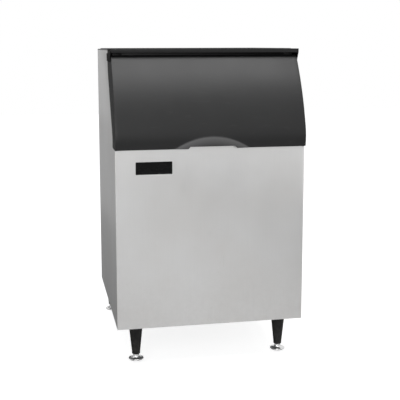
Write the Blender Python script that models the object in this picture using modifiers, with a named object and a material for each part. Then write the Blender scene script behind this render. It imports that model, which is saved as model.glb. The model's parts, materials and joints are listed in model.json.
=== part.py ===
"""Ice storage bin: an insulated cabinet on four screw-down legs, with a sloping door hinged at its top.

Sizes are in metres. X runs across the cabinet, Z is up, and the door faces -Y. Outlines in the side
view are pairs (depth, height): depth counts back from the plane of the front panel, height from the floor.
"""

import math

import bmesh
import bpy
from mathutils import Matrix, Vector

# Overall sizes of the cabinet
CABINET_WIDTH = 0.768
CABINET_DEPTH = 0.765
CABINET_TOP = 1.2603
LEG_HEIGHT = 0.152
SKIN = 0.0012
BACK_RETURN = 0.015
FRONT_RETURN = 0.020
SEAM = 0.001
WALL = 0.045
LINER_WALL = 0.003
FLOOR_FOAM = 0.050
GAP = 0.0003
OVERRUN = 0.020

# Side view of the door, from its lower edge up: arcs that turn the face back
DOOR_BULGE = 0.0218
TUCK_RADIUS, TUCK_ANGLE = 0.178, math.radians(12)
BELLY_RADIUS, BELLY_ANGLE = 0.160, math.radians(16)
FACE_RADIUS, FACE_ANGLE = 0.900, math.radians(31.5)
FLAT_LENGTH = 0.0629
ROLL_RADIUS, ROLL_ANGLE = 0.014, math.radians(80)
TUCK_STEPS, BELLY_STEPS, FACE_STEPS, ROLL_STEPS = 2, 3, 6, 3
ROLL_CLEARANCE = 0.009
SHELL_WALL = 0.003
SHELL_FILLET = 0.006
FILLET_STEPS = 2
LINER_OFFSET = 0.0253
DOOR_LINER_WALL = 0.003
INNER_BOTTOM_RISE = 0.044
SEAL_THICKNESS = 0.008
SEAL_WIDTH = 0.012
FRAME_OFFSET = 0.037

# Cheeks of the door, the parts that reach back over the cabinet's sides
CHEEK_BACK = 0.093
CHEEK_ARC_RADIUS = 0.135
CHEEK_ARC_END = math.radians(-32)
CHEEK_ARC_STEPS = 6
CHEEK_CLEARANCE = 0.003
PANEL_TIP_DEPTH = 0.044
PANEL_TIP_DROP = 0.011
PANEL_TIP_ANGLE = math.radians(3)

# Handle at the door's lower edge: a flared lip with a raised finger notch
LIP_HALF_WIDTH = 0.150
LIP_HEIGHT = 0.046
LIP_DEPTH = 0.011
NOTCH_HALF_WIDTH = 0.090
NOTCH_SLANT = 0.008
NOTCH_RISE = 0.009
LIP_WIDTH_SHARES = (0.22, 0.42)
LIP_OUTER_SHARES = (0.8, 1.0)

# Opening frame
CHEEK_TO_JAMB = 0.006
JAMB_LAP_TOP = 0.025
JAMB_LAP_BOTTOM = 0.073
LEDGE_RISE = 0.031
SILL_RISE = 0.075
HEADER_CLEARANCE = 0.0056
HEADER_DEPTH = 0.045
HEADER_LAP = 0.018
HEADER_DROP = 0.003
TONGUE_RISE = 0.025
TONGUE_INSET = 0.010

# Top trim and rim
TRIM_FRONT = 0.0264
TRIM_DROP = 0.010
TRIM_RISE = 0.006
TRIM_WALL = 0.003
CAP_PROUD = 0.003
CAP_LENGTH = 0.116
EAR_RADIUS = 0.013
EAR_STEPS = 4
EAR_DROP = 0.010
EAR_LENGTH, EAR_TIP_LENGTH = 0.128, 0.135
EAR_TIP_DROP, EAR_HEEL_DROP = 0.010, 0.003
RIM_HEIGHT = 0.0042
SEAL_STRIP_WIDTH = 0.018
SEAL_STRIP_HEIGHT = 0.0026
SEAL_STRIP_INSET = 0.012

# Hinge
PIN_RADIUS = 0.004
PIN_HEAD_RADIUS = 0.007
PIN_HEAD_LENGTH = 0.004
PIN_RECESS = 0.0005
RUNNING = 0.0003
BUSH_RADIUS = 0.006
BUSH_FLANGE_RADIUS = 0.0078
BUSH_FLANGE_LENGTH = 0.0019
BRACKET_THICKNESS = 0.003
BRACKET_EYE_RADIUS = 0.008
BRACKET_PAD_RADIUS = 0.0165
BRACKET_REACH = 0.060
BRACKET_ANGLE = math.radians(-44)
BRACKET_SCREW_RADIUS = 0.002
BRACKET_SCREW_HEAD = 0.004
BRACKET_SCREW_HEAD_LENGTH = 0.0012
BRACKET_SCREW_LENGTH = 0.012
BRACKET_SCREW_SPACING = 0.018
HINGE_NOTCH_BELOW = 0.075
HINGE_NOTCH_WIDTH = 0.016

# Small parts of the front
BUMPER_RADIUS = 0.007
BUMPER_INSET = 0.094
BUMPER_DROP = 0.010
PLATE_WIDTH, PLATE_HEIGHT, PLATE_THICKNESS = 0.1475, 0.0525, 0.0015
PLATE_LEFT, PLATE_DROP = 0.0788, 0.0455
PLATE_ROUND = 0.003

# Ice baffle inside, behind the header
BAFFLE_INSET = 0.060
BAFFLE_THICKNESS = 0.003
BAFFLE_TOP_DROP = 0.008
BAFFLE_LENGTH = 0.210
BAFFLE_LIP = 0.020
KNOB_RADIUS, KNOB_LENGTH = 0.012, 0.014
KNOB_STUD_RADIUS, KNOB_STUD_LENGTH = 0.003, 0.020
KNOB_INSET = 0.064
KNOB_DROP = 0.024

# Legs and levelling feet
FRONT_LEG_SIDE, FRONT_LEG_BACK = 0.0815, 0.069
REAR_LEG_SIDE, REAR_LEG_BACK = 0.046, 0.034
LEG_TOP_RADIUS, LEG_BOTTOM_RADIUS = 0.0295, 0.0150
LEG_CHAMFER = 0.003
LEG_STUD_RADIUS, LEG_STUD_LENGTH = 0.008, 0.010
LEG_PLATE_SIDE, LEG_PLATE_THICKNESS = 0.058, 0.006
FOOT_HEIGHT, FOOT_NECK_RADIUS = 0.0234, 0.0125
FOOT_FLANGE_RADIUS = 0.031
FOOT_EDGE_HEIGHT = 0.006
FOOT_CONE_HEIGHT = 0.015
FOOT_BASE_RADIUS = 0.027
FOOT_STUD_RADIUS, FOOT_STUD_LENGTH = 0.006, 0.046

# Drain
DRAIN_BACK = 0.110
DRAIN_FLANGE_RADIUS, DRAIN_FLANGE_HEIGHT = 0.030, 0.004
DRAIN_TUBE_RADIUS, DRAIN_BORE_RADIUS = 0.0133, 0.0095
DRAIN_BELOW = 0.040
DRAIN_NUT_RADIUS, DRAIN_NUT_HEIGHT = 0.022, 0.009
NUT_SIDES = 6
STRAINER_RADIUS, STRAINER_HEIGHT = 0.026, 0.002
STRAINER_HOLE_RADIUS, STRAINER_HOLE_RING, STRAINER_HOLES = 0.003, 0.005, 4

# Screws of the back panel
BACK_SCREW_RADIUS, BACK_SCREW_LENGTH = 0.002, 0.010
BACK_SCREW_HEAD, BACK_SCREW_HEAD_LENGTH = 0.005, 0.002
BACK_SCREW_INSET, BACK_SCREW_RISE = 0.022, 0.060

ROUND_STEPS = 24
SMALL_STEPS = 12

# Heights and depths that follow from the sizes above
FLOOR_TOP = LEG_HEIGHT + SKIN
TRIM_BOTTOM = CABINET_TOP - TRIM_DROP
HINGE_Z = TRIM_BOTTOM - ROLL_CLEARANCE - ROLL_RADIUS
LOWEST_DEPTH = -DOOR_BULGE + TUCK_RADIUS * (1 - math.cos(TUCK_ANGLE))
RUN_DEPTH = (
    LOWEST_DEPTH
    - TUCK_RADIUS * (1 - math.cos(TUCK_ANGLE))
    + BELLY_RADIUS * (1 - math.cos(BELLY_ANGLE))
    + FACE_RADIUS * (math.cos(BELLY_ANGLE) - math.cos(FACE_ANGLE))
    + FLAT_LENGTH * math.sin(FACE_ANGLE)
)
RUN_HEIGHT = (
    TUCK_RADIUS * math.sin(TUCK_ANGLE)
    + BELLY_RADIUS * math.sin(BELLY_ANGLE)
    + FACE_RADIUS * (math.sin(FACE_ANGLE) - math.sin(BELLY_ANGLE))
    + FLAT_LENGTH * math.cos(FACE_ANGLE)
)
HINGE_DEPTH = RUN_DEPTH + ROLL_RADIUS * math.cos(FACE_ANGLE)
DOOR_BOTTOM = HINGE_Z + ROLL_RADIUS * math.sin(FACE_ANGLE) - RUN_HEIGHT
SHOULDER = DOOR_BOTTOM - CHEEK_CLEARANCE
HEADER_FRONT = HINGE_DEPTH + ROLL_RADIUS + HEADER_CLEARANCE
HEADER_BACK = HEADER_FRONT + HEADER_DEPTH
HEADER_TOP = CABINET_TOP - HEADER_DROP
TRIM_DEPTH = HINGE_DEPTH - TRIM_FRONT
RIM_BOTTOM = CABINET_TOP + GAP
RIM_TOP = RIM_BOTTOM + RIM_HEIGHT
JAMB_OUTSIDE = SHELL_WALL + CHEEK_TO_JAMB
JAMB_INSIDE = WALL
PANEL_ARC_RADIUS = CHEEK_ARC_RADIUS + CHEEK_CLEARANCE
PANEL_BACK = CHEEK_BACK + CHEEK_CLEARANCE
FOAM_BOTTOM = FLOOR_TOP + GAP + LEG_PLATE_THICKNESS + LEG_STUD_LENGTH / 2
BIN_FLOOR = FOAM_BOTTOM + FLOOR_FOAM + GAP + LINER_WALL
CENTRE_X = CABINET_WIDTH / 2


def world_y(depth):
    """The Y of a place so deep behind the front panel's plane, with the whole bin centred on Y."""
    rearmost = CABINET_DEPTH + GAP + BACK_SCREW_HEAD_LENGTH
    return depth - (rearmost + foremost_depth()) / 2


def world_x(across):
    """The X of a place so far from the cabinet's left side."""
    return across - CENTRE_X


def clear_scene():
    for old in list(bpy.data.objects):
        bpy.data.objects.remove(old)


def new_collection(name):
    made = bpy.data.collections.new(name)
    bpy.context.scene.collection.children.link(made)
    return made


def new_material(name, colour, roughness, metallic):
    made = bpy.data.materials.new(name)
    made.use_nodes = True
    shader = made.node_tree.nodes["Principled BSDF"]
    shader.inputs["Base Color"].default_value = (*colour, 1)
    shader.inputs["Roughness"].default_value = roughness
    shader.inputs["Metallic"].default_value = metallic
    made.diffuse_color = (*colour, 1)
    return made


clear_scene()
PARTS = new_collection("ice_storage_bin")
CUTTERS = new_collection("cutters")

FINISHES = {
    "stainless": ((0.56, 0.56, 0.55), 0.34, 1.0),
    "galvanised": ((0.50, 0.51, 0.52), 0.5, 1.0),
    "door_plastic": ((0.045, 0.045, 0.048), 0.38, 0.0),
    "frame_plastic": ((0.03, 0.03, 0.032), 0.5, 0.0),
    "liner_plastic": ((0.78, 0.80, 0.80), 0.45, 0.0),
    "foam": ((0.80, 0.72, 0.50), 0.9, 0.0),
    "seal_rubber": ((0.025, 0.025, 0.025), 0.8, 0.0),
    "leg_plastic": ((0.02, 0.02, 0.02), 0.45, 0.0),
    "polished_steel": ((0.62, 0.61, 0.60), 0.2, 1.0),
    "nameplate_film": ((0.012, 0.012, 0.012), 0.3, 0.0),
}
MATERIALS = {name: new_material(name, *values) for name, values in FINISHES.items()}


def finished(name, mesh, finish, home=PARTS):
    """A named object of the mesh, with its finish."""
    made = bpy.data.objects.new(name, mesh)
    made.data.materials.append(MATERIALS[finish])
    home.objects.link(made)
    return made


def smooth(obj, angle=math.radians(35)):
    obj.data.shade_smooth()
    obj.data.set_sharp_from_angle(angle=angle)
    return obj


AXES = {
    "x": Matrix(((0, 0, 1, 0), (1, 0, 0, 0), (0, 1, 0, 0), (0, 0, 0, 1))),
    "y": Matrix(((1, 0, 0, 0), (0, 0, -1, 0), (0, 1, 0, 0), (0, 0, 0, 1))),
    "z": Matrix.Identity(4),
}


def plate(name, outline, across, near, far, finish, home=PARTS):
    """A flat outline given a thickness from near to far along an axis: a 2D curve, made a mesh.

    Outlines are (y, z) pairs for axis x, (x, z) for y and (x, y) for z, all in world places.
    """
    curve = bpy.data.curves.new(name, "CURVE")
    curve.dimensions = "2D"
    curve.fill_mode = "BOTH"
    curve.extrude = abs(far - near) / 2
    spline = curve.splines.new("POLY")
    spline.points.add(len(outline) - 1)
    for point, (u, v) in zip(spline.points, outline):
        point.co = (u, v, 0, 1)
    spline.use_cyclic_u = True
    flat = bpy.data.objects.new(name + "_curve", curve)
    bpy.context.scene.collection.objects.link(flat)
    graph = bpy.context.evaluated_depsgraph_get()
    mesh = bpy.data.meshes.new_from_object(flat.evaluated_get(graph))
    bpy.data.objects.remove(flat)
    mesh.name = name
    middle = (near + far) / 2
    lift = Matrix.Translation((0, 0, -middle if across == "y" else middle))
    bm = bmesh.new()
    bm.from_mesh(mesh)
    bmesh.ops.remove_doubles(bm, verts=bm.verts, dist=GAP / 100)
    bmesh.ops.transform(bm, matrix=AXES[across] @ lift, verts=bm.verts)
    bmesh.ops.recalc_face_normals(bm, faces=bm.faces)
    bm.to_mesh(mesh)
    bm.free()
    mesh.materials.clear()
    return finished(name, mesh, finish, home)


def side_plate(name, outline, left, right, finish, home=PARTS):
    """A side-view outline of (depth, height) pairs, from one place across the cabinet to another."""
    places = [(world_y(depth), height) for depth, height in outline]
    return plate(name, places, "x", world_x(left), world_x(right), finish, home)


def block(name, low, high, finish, home=PARTS):
    """A box between two corners, given as (across, depth, height)."""
    low = Vector((world_x(low[0]), world_y(low[1]), low[2]))
    high = Vector((world_x(high[0]), world_y(high[1]), high[2]))
    bm = bmesh.new()
    bmesh.ops.create_cube(bm, size=1)
    bmesh.ops.scale(bm, vec=high - low, verts=bm.verts)
    bmesh.ops.translate(bm, vec=(high + low) / 2, verts=bm.verts)
    mesh = bpy.data.meshes.new(name)
    bm.to_mesh(mesh)
    bm.free()
    return finished(name, mesh, finish, home)


def turned(name, profile, place, finish, steps=ROUND_STEPS, direction="z", home=PARTS, closed=False):
    """A turned shape: (radius, height) pairs run from the top down, spun about an axis through a place."""
    mesh = bpy.data.meshes.new(name)
    count = len(profile)
    edges = [(i, i + 1) for i in range(count - 1)] + ([(count - 1, 0)] if closed else [])
    mesh.from_pydata([(radius, 0, height) for radius, height in profile], edges, [])
    made = finished(name, mesh, finish, home)
    screw = made.modifiers.new("spin", "SCREW")
    screw.axis = "Z"
    screw.steps = screw.render_steps = steps
    screw.use_merge_vertices = True
    screw.merge_threshold = GAP / 100
    turns = {
        "z": Matrix.Identity(4),
        "+x": Matrix.Rotation(math.pi / 2, 4, "Y"),
        "-x": Matrix.Rotation(-math.pi / 2, 4, "Y"),
        "+y": Matrix.Rotation(-math.pi / 2, 4, "X"),
        "-y": Matrix.Rotation(math.pi / 2, 4, "X"),
    }
    made.matrix_world = Matrix.Translation(place) @ turns[direction]
    return made


def rod(name, radius, place, length, direction, home=CUTTERS, finish="galvanised", steps=SMALL_STEPS):
    """A plain round bar from a place along a direction."""
    return turned(name, [(0, length), (radius, length), (radius, 0), (0, 0)], place, finish,
                  steps, direction, home)


def cut(target, cutter, keep="DIFFERENCE"):
    change = target.modifiers.new(cutter.name, "BOOLEAN")
    change.operation = keep
    change.solver = "EXACT"
    change.object = cutter
    cutter.hide_render = True
    cutter.display_type = "WIRE"
    return target


def bevel(obj, width, segments=1, angle=math.radians(40)):
    change = obj.modifiers.new("rounded edges", "BEVEL")
    change.width = width
    change.segments = segments
    change.limit_method = "ANGLE"
    change.angle_limit = angle
    return obj


def hung_on(parent_name, place, pieces):
    """An empty on a joint's axis, with the pieces that move about it as its children."""
    axis = bpy.data.objects.new(parent_name, None)
    axis.location = place
    PARTS.objects.link(axis)
    bpy.context.view_layer.update()
    for piece in pieces:
        world = piece.matrix_world.copy()
        piece.parent = axis
        piece.matrix_parent_inverse = Matrix.Translation(-Vector(place))
        piece.matrix_world = world
    return axis


# The door's side view

def door_profile(offset=0.0, with_roll=True):
    """Points (depth, height, lean) up the door's face, moved inwards by an offset."""
    depth, height = LOWEST_DEPTH, DOOR_BOTTOM
    arcs = (
        (TUCK_RADIUS, -TUCK_ANGLE, 0.0, TUCK_STEPS),
        (BELLY_RADIUS, 0.0, BELLY_ANGLE, BELLY_STEPS),
        (FACE_RADIUS, BELLY_ANGLE, FACE_ANGLE, FACE_STEPS),
    )
    points = [(depth, height, -TUCK_ANGLE)]
    for radius, start, end, steps in arcs:
        for i in range(1, steps + 1):
            lean = start + (end - start) * i / steps
            points.append((
                depth + radius * (math.cos(start) - math.cos(lean)),
                height + radius * (math.sin(lean) - math.sin(start)),
                lean,
            ))
        depth, height = points[-1][:2]
    depth += FLAT_LENGTH * math.sin(FACE_ANGLE)
    height += FLAT_LENGTH * math.cos(FACE_ANGLE)
    points.append((depth, height, FACE_ANGLE))
    if with_roll:
        for i in range(1, ROLL_STEPS + 1):
            lean = FACE_ANGLE + (ROLL_ANGLE - FACE_ANGLE) * i / ROLL_STEPS
            points.append((
                depth + ROLL_RADIUS * (math.cos(FACE_ANGLE) - math.cos(lean)),
                height + ROLL_RADIUS * (math.sin(lean) - math.sin(FACE_ANGLE)),
                lean,
            ))
    return [
        (d + offset * math.cos(lean), h - offset * math.sin(lean), lean) for d, h, lean in points
    ]


def flared(depth, height, from_centre):
    """The depth of a point on the door's face once the handle's lip is pulled forward."""
    rise = (DOOR_BOTTOM + LIP_HEIGHT - height) / LIP_HEIGHT
    return depth - LIP_DEPTH * max(rise - (from_centre / LIP_HALF_WIDTH) ** 2, 0.0)


def outer_rows(inset, from_centre):
    """The door's outer section as (depth, height) pairs, its lower edge raised at the finger notch."""
    rows = [(depth, height) for depth, height, _ in door_profile(inset)]
    if from_centre < NOTCH_HALF_WIDTH + NOTCH_SLANT / 2:
        (d0, h0), (d1, h1) = rows[:2]
        share = NOTCH_RISE / (h1 - h0)
        rows[0] = (d0 + share * (d1 - d0), h0 + NOTCH_RISE)
    return [(flared(depth, height, from_centre), height) for depth, height in rows]


def foremost_depth():
    """The depth of the handle's lip, which is as far forward as anything reaches."""
    return min(depth for depth, _ in outer_rows(0.0, 0.0))


def profile_between(offset, low, high=math.inf):
    """The part of an inner profile between two heights, without the roll, as (depth, height) pairs."""
    points = [(d, h) for d, h, _ in door_profile(offset, with_roll=False)]
    kept = []
    for (d0, h0), (d1, h1) in zip(points, points[1:]):
        for limit in (low, high):
            if h0 < limit < h1:
                share = (limit - h0) / (h1 - h0)
                kept.append((d0 + share * (d1 - d0), limit))
        if low <= h1 <= high:
            kept.append((d1, h1))
    if low <= points[0][1] <= high:
        kept.insert(0, points[0])
    return kept


def arc_about_hinge(radius, start, end, steps=CHEEK_ARC_STEPS):
    """Side-view points on an arc about the hinge, angles counted up from straight back."""
    return [
        (
            HINGE_DEPTH + radius * math.cos(start + (end - start) * i / steps),
            HINGE_Z + radius * math.sin(start + (end - start) * i / steps),
        )
        for i in range(steps + 1)
    ]


def below_arc(radius, back):
    """Where the tangent from the arc's lower end meets a vertical line."""
    depth, height = arc_about_hinge(radius, CHEEK_ARC_END, CHEEK_ARC_END, 1)[0]
    return back, height - (depth - back) / math.tan(-CHEEK_ARC_END)


def make_side_panels():
    """The stainless sides, cut away at the front where the door's cheeks lie."""
    outline = [(FRONT_RETURN + SEAM, LEG_HEIGHT)]
    outline += [(CABINET_DEPTH - BACK_RETURN - SEAM, LEG_HEIGHT)]
    outline += [(CABINET_DEPTH - BACK_RETURN - SEAM, CABINET_TOP)]
    tip = HINGE_DEPTH + PANEL_ARC_RADIUS - PANEL_TIP_DEPTH
    outline += [(tip, CABINET_TOP), (tip, CABINET_TOP - PANEL_TIP_DROP)]
    outline += arc_about_hinge(PANEL_ARC_RADIUS, PANEL_TIP_ANGLE, CHEEK_ARC_END)
    outline += [below_arc(PANEL_ARC_RADIUS, PANEL_BACK), (PANEL_BACK, SHOULDER)]
    outline += [(FRONT_RETURN + SEAM, SHOULDER)]
    side_plate("side_panel_left", outline, 0, SKIN, "stainless")
    side_plate("side_panel_right", outline, CABINET_WIDTH - SKIN, CABINET_WIDTH, "stainless")


def tray_outline(depth_out, depth_in):
    """Plan view of a panel with a return at each side, as (x, y) pairs."""
    left, right = world_x(0), world_x(CABINET_WIDTH)
    face, edge = world_y(depth_out), world_y(depth_in)
    inner = face + math.copysign(SKIN, edge - face)
    return [(left, edge), (left, face), (right, face), (right, edge),
            (right - SKIN, edge), (right - SKIN, inner), (left + SKIN, inner), (left + SKIN, edge)]


def make_front_panel():
    panel = plate("front_panel", tray_outline(0, FRONT_RETURN), "z", LEG_HEIGHT,
                  SHOULDER + TONGUE_RISE, "stainless")
    for side in (0, 1):
        edge = side * CABINET_WIDTH
        inner = edge + (TONGUE_INSET if side == 0 else -TONGUE_INSET)
        low, high = min(edge, inner), max(edge, inner)
        reach = OVERRUN if side else -OVERRUN
        corner = block(
            f"front_panel_corner_{side}",
            (low + min(reach, 0), -OVERRUN, SHOULDER),
            (high + max(reach, 0), FRONT_RETURN + OVERRUN, SHOULDER + TONGUE_RISE + OVERRUN),
            "stainless", CUTTERS)
        cut(panel, corner)
    return panel


def make_back_panel():
    panel = plate("back_panel", tray_outline(CABINET_DEPTH, CABINET_DEPTH - BACK_RETURN), "z",
                  LEG_HEIGHT, CABINET_TOP, "galvanised")
    places = [
        (across, height)
        for height in (LEG_HEIGHT + BACK_SCREW_RISE, CABINET_TOP - BACK_SCREW_RISE)
        for across in (BACK_SCREW_INSET, CABINET_WIDTH - BACK_SCREW_INSET)
    ]
    names = ("lower_left", "lower_right", "upper_left", "upper_right")
    for name, (across, height) in zip(names, places):
        place = Vector((world_x(across), world_y(CABINET_DEPTH), height))
        hole = rod(f"back_hole_{name}", BACK_SCREW_RADIUS + RUNNING,
                   place - Vector((0, OVERRUN, 0)), 2 * OVERRUN, "+y")
        cut(panel, hole)
        turned(f"back_screw_{name}", [
            (0, GAP + BACK_SCREW_HEAD_LENGTH),
            (BACK_SCREW_HEAD * 0.7, GAP + BACK_SCREW_HEAD_LENGTH),
            (BACK_SCREW_HEAD, GAP + BACK_SCREW_HEAD_LENGTH / 2),
            (BACK_SCREW_HEAD, GAP),
            (BACK_SCREW_RADIUS, GAP),
            (BACK_SCREW_RADIUS, -BACK_SCREW_LENGTH),
            (0, -BACK_SCREW_LENGTH),
        ], place, "polished_steel", SMALL_STEPS, "+y")
        yield hole


def make_body(back_holes):
    """Base pan, foam between the skins, and the moulded liner that holds the ice."""
    edge = SKIN + GAP
    pan = block("base_pan", (edge, edge, LEG_HEIGHT),
                (CABINET_WIDTH - edge, CABINET_DEPTH - edge, FLOOR_TOP), "galvanised")
    foam = block("insulation", (edge, edge, FOAM_BOTTOM),
                 (CABINET_WIDTH - edge, CABINET_DEPTH - edge, HEADER_TOP), "foam")
    outer = WALL - LINER_WALL
    core = block("liner_space", (outer - GAP, outer - GAP, BIN_FLOOR - LINER_WALL - GAP),
                 (CABINET_WIDTH - outer + GAP, CABINET_DEPTH - outer + GAP, CABINET_TOP + OVERRUN),
                 "foam", CUTTERS)
    cut(foam, core)
    liner = block("ice_liner", (outer, outer, BIN_FLOOR - LINER_WALL),
                  (CABINET_WIDTH - outer, CABINET_DEPTH - outer, HEADER_TOP), "liner_plastic")
    hollow = block("liner_hollow", (WALL, WALL, BIN_FLOOR),
                   (CABINET_WIDTH - WALL, CABINET_DEPTH - WALL, CABINET_TOP + OVERRUN),
                   "liner_plastic", CUTTERS)
    cut(liner, hollow)
    lap_top, lap_bottom = jamb_rear()
    front = side_plate("opening_space", [
        (-OVERRUN, SHOULDER - GAP), (lap_bottom[0] + GAP, SHOULDER - GAP),
        (lap_top[0] + GAP, HEADER_TOP), (lap_top[0] + GAP, CABINET_TOP + OVERRUN),
        (-OVERRUN, CABINET_TOP + OVERRUN),
    ], -OVERRUN, CABINET_WIDTH + OVERRUN, "foam", CUTTERS)
    cut(foam, front)
    cut(liner, front)
    for hole in back_holes:
        cut(foam, hole)
    return pan, foam, liner


def jamb_rear():
    """Top and bottom ends of the jambs' straight rear edge, as (depth, height)."""
    return (
        (HINGE_DEPTH + PANEL_ARC_RADIUS + JAMB_LAP_TOP, HEADER_TOP),
        (PANEL_BACK + JAMB_LAP_BOTTOM, SHOULDER),
    )


def frame_front(high):
    """The front edge that the jambs and the sill share: a ledge, then the curve behind the door."""
    ledge = SHOULDER + LEDGE_RISE
    return [(SKIN + GAP, SHOULDER), (SKIN + GAP, ledge)] + profile_between(FRAME_OFFSET, ledge, high)


def make_frame():
    """The black moulded pieces round the opening that the door closes on."""
    top, bottom = jamb_rear()
    jamb = frame_front(math.inf) + [(HEADER_FRONT, HEADER_TOP), top, bottom]
    side_plate("jamb_left", jamb, JAMB_OUTSIDE, JAMB_INSIDE, "frame_plastic")
    side_plate("jamb_right", jamb, CABINET_WIDTH - JAMB_INSIDE, CABINET_WIDTH - JAMB_OUTSIDE,
               "frame_plastic")
    inner = JAMB_INSIDE + GAP
    sill_top = SHOULDER + SILL_RISE
    sill = frame_front(sill_top) + [(WALL, sill_top), (WALL, SHOULDER)]
    side_plate("sill", sill, inner, CABINET_WIDTH - inner, "frame_plastic")
    curve_end = profile_between(FRAME_OFFSET, SHOULDER)[-1]
    below = (
        curve_end[0] - HEADER_LAP * math.sin(FACE_ANGLE),
        curve_end[1] - HEADER_LAP * math.cos(FACE_ANGLE),
    )
    header = [(HEADER_FRONT, HEADER_TOP), curve_end, below, (HEADER_BACK, below[1]),
              (HEADER_BACK, HEADER_TOP)]
    side_plate("header", header, inner, CABINET_WIDTH - inner, "frame_plastic")
    return below[1]


def make_trim_and_rim():
    """The dark moulding over the door, its end caps, the rails round the open top and their seal."""
    wall = TRIM_DEPTH + TRIM_WALL
    top = CABINET_TOP + TRIM_RISE
    flange = HEADER_TOP + GAP
    outline = [(TRIM_DEPTH, TRIM_BOTTOM), (wall, TRIM_BOTTOM), (wall, flange),
               (HEADER_BACK, flange), (HEADER_BACK, CABINET_TOP), (wall, CABINET_TOP),
               (wall, top), (TRIM_DEPTH, top)]
    side_plate("top_trim", outline, 0, CABINET_WIDTH, "frame_plastic")
    cap = [(TRIM_DEPTH, top), (TRIM_DEPTH, TRIM_BOTTOM)]
    cap += arc_about_hinge(EAR_RADIUS, math.pi, 3 * math.pi / 2, EAR_STEPS)
    cap += [(HINGE_DEPTH + EAR_LENGTH, HINGE_Z - EAR_DROP),
            (HINGE_DEPTH + EAR_TIP_LENGTH, TRIM_BOTTOM - EAR_TIP_DROP),
            (HINGE_DEPTH + EAR_TIP_LENGTH, TRIM_BOTTOM - EAR_HEEL_DROP),
            (TRIM_DEPTH + CAP_LENGTH, TRIM_BOTTOM), (TRIM_DEPTH + CAP_LENGTH, top)]
    bevel(side_plate("trim_cap_left", cap, -CAP_PROUD, -GAP, "frame_plastic"), GAP)
    bevel(side_plate("trim_cap_right", cap, CABINET_WIDTH + GAP, CABINET_WIDTH + CAP_PROUD,
                     "frame_plastic"), GAP)
    rail_side, rail_back = WALL - GAP, CABINET_DEPTH - WALL
    rails = {
        "rim_front": ((0, HEADER_FRONT), (CABINET_WIDTH, HEADER_BACK)),
        "rim_back": ((0, rail_back), (CABINET_WIDTH, CABINET_DEPTH)),
        "rim_left": ((0, HEADER_BACK + GAP), (rail_side, rail_back - GAP)),
        "rim_right": ((CABINET_WIDTH - rail_side, HEADER_BACK + GAP),
                      (CABINET_WIDTH, rail_back - GAP)),
    }
    for name, (low, high) in rails.items():
        bevel(block(name, (*low, RIM_BOTTOM), (*high, RIM_TOP), "frame_plastic"), TRIM_WALL / 3)
    low = (SEAL_STRIP_INSET, HEADER_FRONT + SEAL_STRIP_INSET)
    high = (CABINET_WIDTH - SEAL_STRIP_INSET, CABINET_DEPTH - SEAL_STRIP_INSET)
    bottom = RIM_TOP + GAP
    ring = block("top_seal", (*low, bottom), (*high, bottom + SEAL_STRIP_HEIGHT), "seal_rubber")
    inside = block(
        "top_seal_space",
        (low[0] + SEAL_STRIP_WIDTH, low[1] + SEAL_STRIP_WIDTH, bottom - OVERRUN),
        (high[0] - SEAL_STRIP_WIDTH, high[1] - SEAL_STRIP_WIDTH, bottom + OVERRUN),
        "seal_rubber", CUTTERS)
    cut(ring, inside)


def shell_stations():
    """Places across the door's shell where its section is drawn, with the inset from its corners."""
    corner = []
    for i in range(FILLET_STEPS + 1):
        turn = math.pi / 2 * (1 - i / FILLET_STEPS)
        corner.append((SHELL_FILLET * (1 - math.cos(turn)) if i < FILLET_STEPS else 0.0,
                       SHELL_FILLET * (1 - math.sin(turn))))
    stations = [(across, inset) for inset, across in corner]
    notch = NOTCH_HALF_WIDTH
    spread = [share * notch for share in LIP_WIDTH_SHARES] + [notch, notch + NOTCH_SLANT]
    spread += [notch + NOTCH_SLANT + share * (LIP_HALF_WIDTH - notch - NOTCH_SLANT)
               for share in LIP_OUTER_SHARES]
    middle = [CENTRE_X - s for s in reversed(spread)] + [CENTRE_X] + [CENTRE_X + s for s in spread]
    stations += [(across, 0.0) for across in middle]
    stations += [(CABINET_WIDTH - across, inset) for across, inset in reversed(stations[:len(corner)])]
    return stations


def shell_section(across, inset):
    """The shell's outer section at one place across, as points (x, y, z)."""
    rows = outer_rows(inset, abs(across - CENTRE_X))
    return [(world_x(across), world_y(depth), height) for depth, height in rows]


def cheek_rear(side):
    """The free edge of a cheek, from its top front to its lower rear corner, as points (x, y, z)."""
    top = door_profile(SHELL_FILLET)[-1][1]
    start = math.asin((top - HINGE_Z) / CHEEK_ARC_RADIUS)
    outline = arc_about_hinge(CHEEK_ARC_RADIUS, start, CHEEK_ARC_END)
    outline += [below_arc(CHEEK_ARC_RADIUS, CHEEK_BACK), (CHEEK_BACK, DOOR_BOTTOM)]
    return [(world_x(side * CABINET_WIDTH), world_y(d), h) for d, h in outline]


def make_door_shell():
    """The door's outer moulding: face, rolled top edge, handle lip and both cheeks in one sheet."""
    bm = bmesh.new()
    rows = [[bm.verts.new(point) for point in shell_section(*station)]
            for station in shell_stations()]
    for left, right in zip(rows, rows[1:]):
        for i in range(len(left) - 1):
            bm.faces.new((left[i], right[i], right[i + 1], left[i + 1]))
    for side, row in ((0, rows[0]), (1, rows[-1])):
        rear = [bm.verts.new(point) for point in cheek_rear(side)]
        bm.faces.new(row + rear)
    bmesh.ops.recalc_face_normals(bm, faces=bm.faces)
    if sum(face.normal.y * face.calc_area() for face in bm.faces) > 0:
        bmesh.ops.reverse_faces(bm, faces=bm.faces)
    mesh = bpy.data.meshes.new("door_shell")
    bm.to_mesh(mesh)
    bm.free()
    shell = finished("door_shell", mesh, "door_plastic")
    wall = shell.modifiers.new("wall", "SOLIDIFY")
    wall.thickness = SHELL_WALL
    wall.offset = -1
    wall.use_even_offset = True
    return smooth(shell)


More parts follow.
